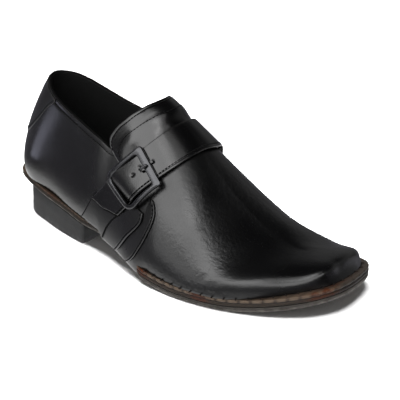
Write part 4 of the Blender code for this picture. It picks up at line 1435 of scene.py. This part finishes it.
def stitch_tree():
    """Rows of thread: a path is cut at the pitch, and one stitch lies along it at each cut."""
    tree = bpy.data.node_groups.new("row_of_stitches", "GeometryNodeTree")
    tree.interface.new_socket("Paths", in_out="INPUT", socket_type="NodeSocketGeometry")
    tree.interface.new_socket("Pitch", in_out="INPUT", socket_type="NodeSocketFloat")
    tree.interface.new_socket("Stitch Size", in_out="INPUT", socket_type="NodeSocketVector")
    tree.interface.new_socket("Thread", in_out="INPUT", socket_type="NodeSocketMaterial")
    tree.interface.new_socket("Stitches", in_out="OUTPUT", socket_type="NodeSocketGeometry")
    given = tree.nodes.new("NodeGroupInput")
    result = tree.nodes.new("NodeGroupOutput")
    level = add_node(tree, "GeometryNodeSetCurveNormal", {"Curve": given.outputs["Paths"]}, mode="Z_UP")
    cut = add_node(
        tree,
        "GeometryNodeResampleCurve",
        {"Curve": level.outputs["Curve"], "Length": given.outputs["Pitch"]},
        mode="LENGTH",
    )
    places = add_node(tree, "GeometryNodeCurveToPoints", {"Curve": cut.outputs["Curve"]}, mode="EVALUATED")
    stitch = add_node(tree, "GeometryNodeMeshUVSphere", {"Segments": 6, "Rings": 5, "Radius": 0.5})
    rows = add_node(
        tree,
        "GeometryNodeInstanceOnPoints",
        {
            "Points": places.outputs["Points"],
            "Instance": stitch.outputs["Mesh"],
            "Rotation": places.outputs["Rotation"],
            "Scale": given.outputs["Stitch Size"],
        },
    )
    whole = add_node(tree, "GeometryNodeRealizeInstances", {"Geometry": rows.outputs["Instances"]})
    coloured = add_node(
        tree,
        "GeometryNodeSetMaterial",
        {"Geometry": whole.outputs["Geometry"], "Material": given.outputs["Thread"]},
    )
    tree.links.new(coloured.outputs["Geometry"], result.inputs["Stitches"])
    return tree


STITCH_TREE = stitch_tree()


def add_stitches(name, paths, pitch, size, thread, slot):
    """One mesh of all the stitches along these paths, each a list of points in millimetres."""
    curve = bpy.data.curves.new(name + "_paths", "CURVE")
    curve.dimensions = "3D"
    for path in paths:
        spline = curve.splines.new("POLY")
        spline.points.add(len(path) - 1)
        places = (np.asarray(path) - BOX_CENTRE) * MM
        spline.points.foreach_set("co", np.column_stack([places, np.ones(len(path))]).ravel())
    guide = bpy.data.objects.new(name + "_guide", curve)
    bpy.context.scene.collection.objects.link(guide)
    rows = guide.modifiers.new("stitches", "NODES")
    rows.node_group = STITCH_TREE
    items = STITCH_TREE.interface.items_tree
    sockets = {item.name: item.identifier for item in items if item.in_out == "INPUT"}
    rows[sockets["Pitch"]] = pitch * MM
    rows[sockets["Stitch Size"]] = [side * MM for side in size]
    rows[sockets["Thread"]] = thread
    graph = bpy.context.evaluated_depsgraph_get()
    mesh = bpy.data.meshes.new_from_object(guide.evaluated_get(graph))
    mesh.name = name
    bpy.data.objects.remove(guide, do_unlink=True)
    for polygon in mesh.polygons:
        polygon.use_smooth = True
    stitches = bpy.data.objects.new(name, mesh)
    bpy.context.scene.collection.objects.link(stitches)
    dress(stitches, slot)


def band_line(table, thick, side, inset, girths, puff, count=BAND_LINE_POINTS):
    """Path on a band's face, at a distance inside its rear or front edge, between two girths."""
    girth = np.linspace(*girths, count)
    width = open_curve(table, "front_x")(girth) - open_curve(table, "rear_x")(girth)
    share = inset / width if side == "rear" else 1 - inset / width
    station, place, lift = band_place(table, girth, share)
    lift = lift + puff(girth, share)
    return form_offset(station, place, lift + thick - STITCH_OFFSET)


def collar_lines():
    """Path under the collar's edge on each side, as far as the flap covers it."""
    lines = []
    loops = np.linspace(0, COLLAR_LINE_END, COLLAR_LINE_POINTS)
    for sign in (1, -1):
        loop = np.mod(sign * loops, 2.0)
        station = np.where(loop > 1, 2 - loop, loop)
        height = collar_height(loop)
        girth = np.where(loop > 1, 2 - height, height)
        normal, around = form_directions(station, girth)
        down = np.where((loop > 1)[:, None], around, -around)
        path = form_point(station, girth) + down * COLLAR_STITCH_DROP + normal * STITCH_OFFSET
        lines.append(path[height < COLLAR_LINE_TOP])
    return lines


def heel_tab_line():
    reach = HEEL_TAB[-1].station
    side = np.linspace(-reach, reach, HEEL_TAB_LINE_POINTS)
    height = heel_tab_place(side, 0.0) + HEEL_TAB_STITCH_INSET / GIRTH_MM
    return form_offset(side, height, GAP + HEEL_TAB_THICK + 0 * height)


def welt_lines():
    """Paths on the welt just outside the foot of the upper, from where the upper stops covering it."""
    loop = np.linspace(0, 2, WELT_LINE_POINTS)
    edge = LAST_ROWS(loop)[:, 3:5]
    ahead = np.gradient(edge, axis=0)
    outward = unit(np.stack([ahead[:, 1], -ahead[:, 0]], axis=-1))
    plan = edge + outward * WELT_STITCH_OUT
    path = np.column_stack([plan, welt_top_z(plan[:, 0]) + WELT_STITCH_RISE])
    wrapped = plan[:, 0] < WRAP_END_X - WELT_STITCH_LEAD
    lines = []
    for part in np.split(np.arange(len(path)), np.flatnonzero(np.diff(wrapped.astype(int))) + 1):
        if not wrapped[part[0]]:
            lines.append(path[part])
    return lines


def aim(obj, eye, target):
    """Places an object at one point of the maker's frame and turns its -Z to another."""
    place = Vector(((eye - BOX_CENTRE) * MM).tolist())
    look = Vector(((target - BOX_CENTRE) * MM).tolist()) - place
    obj.location = place
    obj.rotation_euler = look.to_track_quat("-Z", "Y").to_euler()


def direction(azimuth, elevation):
    a = np.radians(azimuth)
    e = np.radians(elevation)
    return np.array([np.sin(a) * np.cos(e), -np.cos(a) * np.cos(e), np.sin(e)])


def add_camera():
    data = bpy.data.cameras.new("photo_angle")
    data.sensor_width = SENSOR_WIDTH
    data.lens = FOCAL_PIXELS / IMAGE_PIXELS * SENSOR_WIDTH
    data.shift_x = (IMAGE_PIXELS / 2 - TARGET_PIXEL[0]) / IMAGE_PIXELS
    data.shift_y = (TARGET_PIXEL[1] - IMAGE_PIXELS / 2) / IMAGE_PIXELS
    data.clip_start, data.clip_end = CAMERA_CLIP
    camera = bpy.data.objects.new("photo_angle", data)
    bpy.context.scene.collection.objects.link(camera)
    eye = CAMERA_TARGET + direction(CAMERA_AZIMUTH, CAMERA_ELEVATION) * CAMERA_DISTANCE
    aim(camera, eye, CAMERA_TARGET)
    bpy.context.scene.camera = camera


def add_lamps():
    for lamp in LAMPS:
        data = bpy.data.lights.new(lamp.name, "AREA")
        data.shape = "RECTANGLE"
        data.size = lamp.width * MM
        data.size_y = lamp.height * MM
        data.energy = lamp.radiance * np.pi * data.size * data.size_y
        data.color = lamp.colour
        obj = bpy.data.objects.new(lamp.name, data)
        bpy.context.scene.collection.objects.link(obj)
        target = np.array(lamp.target)
        aim(obj, target + direction(lamp.azimuth, lamp.elevation) * lamp.distance, target)
        obj.rotation_euler.rotate_axis("Z", np.radians(lamp.roll))
        obj.visible_camera = False
        obj.visible_glossy = lamp.use == "mirror"
        obj.visible_diffuse = lamp.use == "fill"


def add_sky():
    """Dim room: darkest high up, grey round the horizon, pale below, where gloss mirrors the floor."""
    world = bpy.data.worlds.new("studio")
    world.use_nodes = True
    tree = world.node_tree
    background = tree.nodes["Background"]
    place = add_node(tree, "ShaderNodeTexCoord").outputs["Generated"]
    split = add_node(tree, "ShaderNodeSeparateXYZ", {"Vector": place})
    share = remap(tree, split.outputs["Z"], 0.0, 1.0, -1.0, 1.0)
    ramp = add_node(tree, "ShaderNodeValToRGB", {"Fac": share})
    stops = ramp.color_ramp.elements
    while len(stops) < len(SKY):
        stops.new(0.5)
    for stop, sky in zip(stops, SKY):
        stop.position = (1 + np.sin(np.radians(sky.elevation))) / 2
        stop.color = (*(sky.radiance * channel for channel in sky.colour), 1.0)
    strength = add_node(tree, "ShaderNodeValue").outputs["Value"]
    strength.default_value = 1.0
    for spot in SKY_SPOTS:
        towards = direction(spot.azimuth, spot.elevation).tolist()
        nearness = add_node(tree, "ShaderNodeVectorMath", {0: place, 1: towards}, operation="DOT_PRODUCT")
        limits = {
            "Value": nearness.outputs["Value"],
            "From Min": np.cos(np.radians(spot.outer_degrees)),
            "From Max": np.cos(np.radians(spot.inner_degrees)),
            "To Min": 1.0,
            "To Max": spot.gain,
        }
        gain = add_node(tree, "ShaderNodeMapRange", limits, interpolation_type="SMOOTHSTEP")
        strength = maths(tree, "MULTIPLY", strength, gain.outputs["Result"])
    tree.links.new(strength, background.inputs["Strength"])
    tree.links.new(ramp.outputs["Color"], background.inputs["Color"])
    bpy.context.scene.world = world


def add_floor():
    mesh = bpy.data.meshes.new("floor")
    corners = [(x * FLOOR_HALF, y * FLOOR_HALF, 0) for x, y in ((-1, -1), (1, -1), (1, 1), (-1, 1))]
    mesh.from_pydata(corners, [], [(0, 1, 2, 3)])
    material, _, shader = new_material("floor_paper", roughness=0.9, specular_ior_level=0.1)
    shader.inputs["Base Color"].default_value = (*FLOOR_COLOUR, 1.0)
    mesh.materials.append(material)
    floor = bpy.data.objects.new("floor", mesh)
    bpy.context.scene.collection.objects.link(floor)
    floor.visible_glossy = False


def add_overlays(leather, band_leather, cut):
    """Flap, strap, quarter panel, black strips of painted shadow, strap foot and facing, all laid on the
    upper.
    """
    foot_lines = [("front", FOOT_STITCH_INSET)]
    add_band(
        "flap_tongue",
        FLAP,
        [band_leather],
        ["tongue_flap"],
        thick=FLAP_THICK,
        radius=0.7,
        along=120,
        across=50,
        stitch_lines=[("rear", inset) for inset in FLAP_STITCH_INSETS],
        puff=flap_puff,
    )
    add_band(
        "strap_band",
        STRAP,
        [band_leather, cut],
        ["strap"],
        thick=STRAP_THICK,
        radius=0.7,
        along=330,
        across=64,
        stitch_lines=[("front", STRAP_STITCH_INSET)],
        holes=STRAP_HOLES,
        puff=strap_arch,
    )
    panel_sizes = {"thick": QUARTER_PANEL_THICK, "radius": 0.5, "along": 50, "across": 40}
    add_band("quarter_panel", QUARTER_PANEL, [leather], **panel_sizes)
    # Black strips of painted shadow behind the strap's foot and the quarter panel, and below the strap's
    # tail.
    add_band("foot_shadow_strip", FOOT_SHADOW_STRIP, [cut], thick=0.3, radius=0.2, along=50, across=12)
    add_band("seam_shadow_strip", SEAM_SHADOW_STRIP, [cut], thick=0.25, radius=0.2, along=50, across=12)
    add_band("tail_shadow_strip", TAIL_SHADOW_STRIP, [cut], thick=0.5, radius=0.3, along=12, across=40)
    add_band(
        "strap_foot",
        STRAP_BASE,
        [leather],
        ["strap_base"],
        thick=STRAP_FOOT_THICK,
        radius=0.7,
        along=70,
        across=36,
        stitch_lines=foot_lines,
        puff=facing_tilt,
    )
    add_band(
        "facing_patch",
        FACING,
        [leather],
        ["facing"],
        thick=FACING_THICK,
        radius=0.6,
        along=80,
        across=30,
        stitch_lines=foot_lines,
        puff=facing_tilt,
    )


def leather_lines():
    """Paths of all the stitches in the leather."""
    strap = ("front", STRAP_STITCH_INSET, STRAP_LINE_GIRTHS)
    foot = ("front", FOOT_STITCH_INSET, FOOT_LINE_GIRTHS)
    facing = ("front", FOOT_STITCH_INSET, FACING_LINE_GIRTHS)
    lines = []
    for inset in FLAP_STITCH_INSETS:
        lines.append(band_line(FLAP, FLAP_THICK, "rear", inset, FLAP_LINE_GIRTHS, flap_puff))
    lines.append(band_line(STRAP, STRAP_THICK, *strap, strap_arch, STRAP_LINE_POINTS))
    lines.append(band_line(STRAP_BASE, STRAP_FOOT_THICK, *foot, facing_tilt))
    lines.append(band_line(FACING, FACING_THICK, *facing, facing_tilt))
    lines.append(heel_tab_line())
    return lines + collar_lines()


def build():
    bpy.context.scene.view_settings.view_transform = "Standard"
    add_camera()
    add_lamps()
    add_sky()
    add_floor()

    leather = polished_leather("upper_calf", gloss=0.30, grain_depth=0.5, wrinkle_depth=1.1)
    band_leather = polished_leather("strap_calf", gloss=0.18, grain_depth=0.35, wrinkle_depth=0.5)
    lining = lining_cloth()
    # Black for cut edges, and for painted shade in holes and painted shadow strips along edges.
    cut = black_edge_and_shade()
    metal = dark_metal()
    black_thread = waxed_thread("black_thread", (0.0015, 0.0015, 0.0015), roughness=0.8, specular=0.08)
    welt_thread = waxed_thread("welt_thread", (0.006, 0.004, 0.003), roughness=0.7, specular=0.2)

    add_outsole(sole_rubber("tread_rubber", (0.019, 0.015, 0.012), (0.038, 0.032, 0.026), roughness=0.6))
    add_welt(welt_leather())
    add_heel(sole_rubber("heel_rubber", (0.016, 0.016, 0.016), (0.025, 0.025, 0.025), roughness=0.6))
    add_footbed(lining)
    add_upper(leather, lining, cut)
    add_heel_tab(leather)
    add_overlays(leather, band_leather, cut)
    add_buckle_ring(metal)
    add_buckle_pin(metal)

    leather_thread = (STITCH_PITCH, STITCH_SIZE, black_thread)
    sole_thread = (WELT_STITCH_PITCH, WELT_STITCH_SIZE, welt_thread)
    add_stitches("leather_stitches", leather_lines(), *leather_thread, "upper_leather")
    add_stitches("welt_stitches", welt_lines(), *sole_thread, "welt_leather")


build()
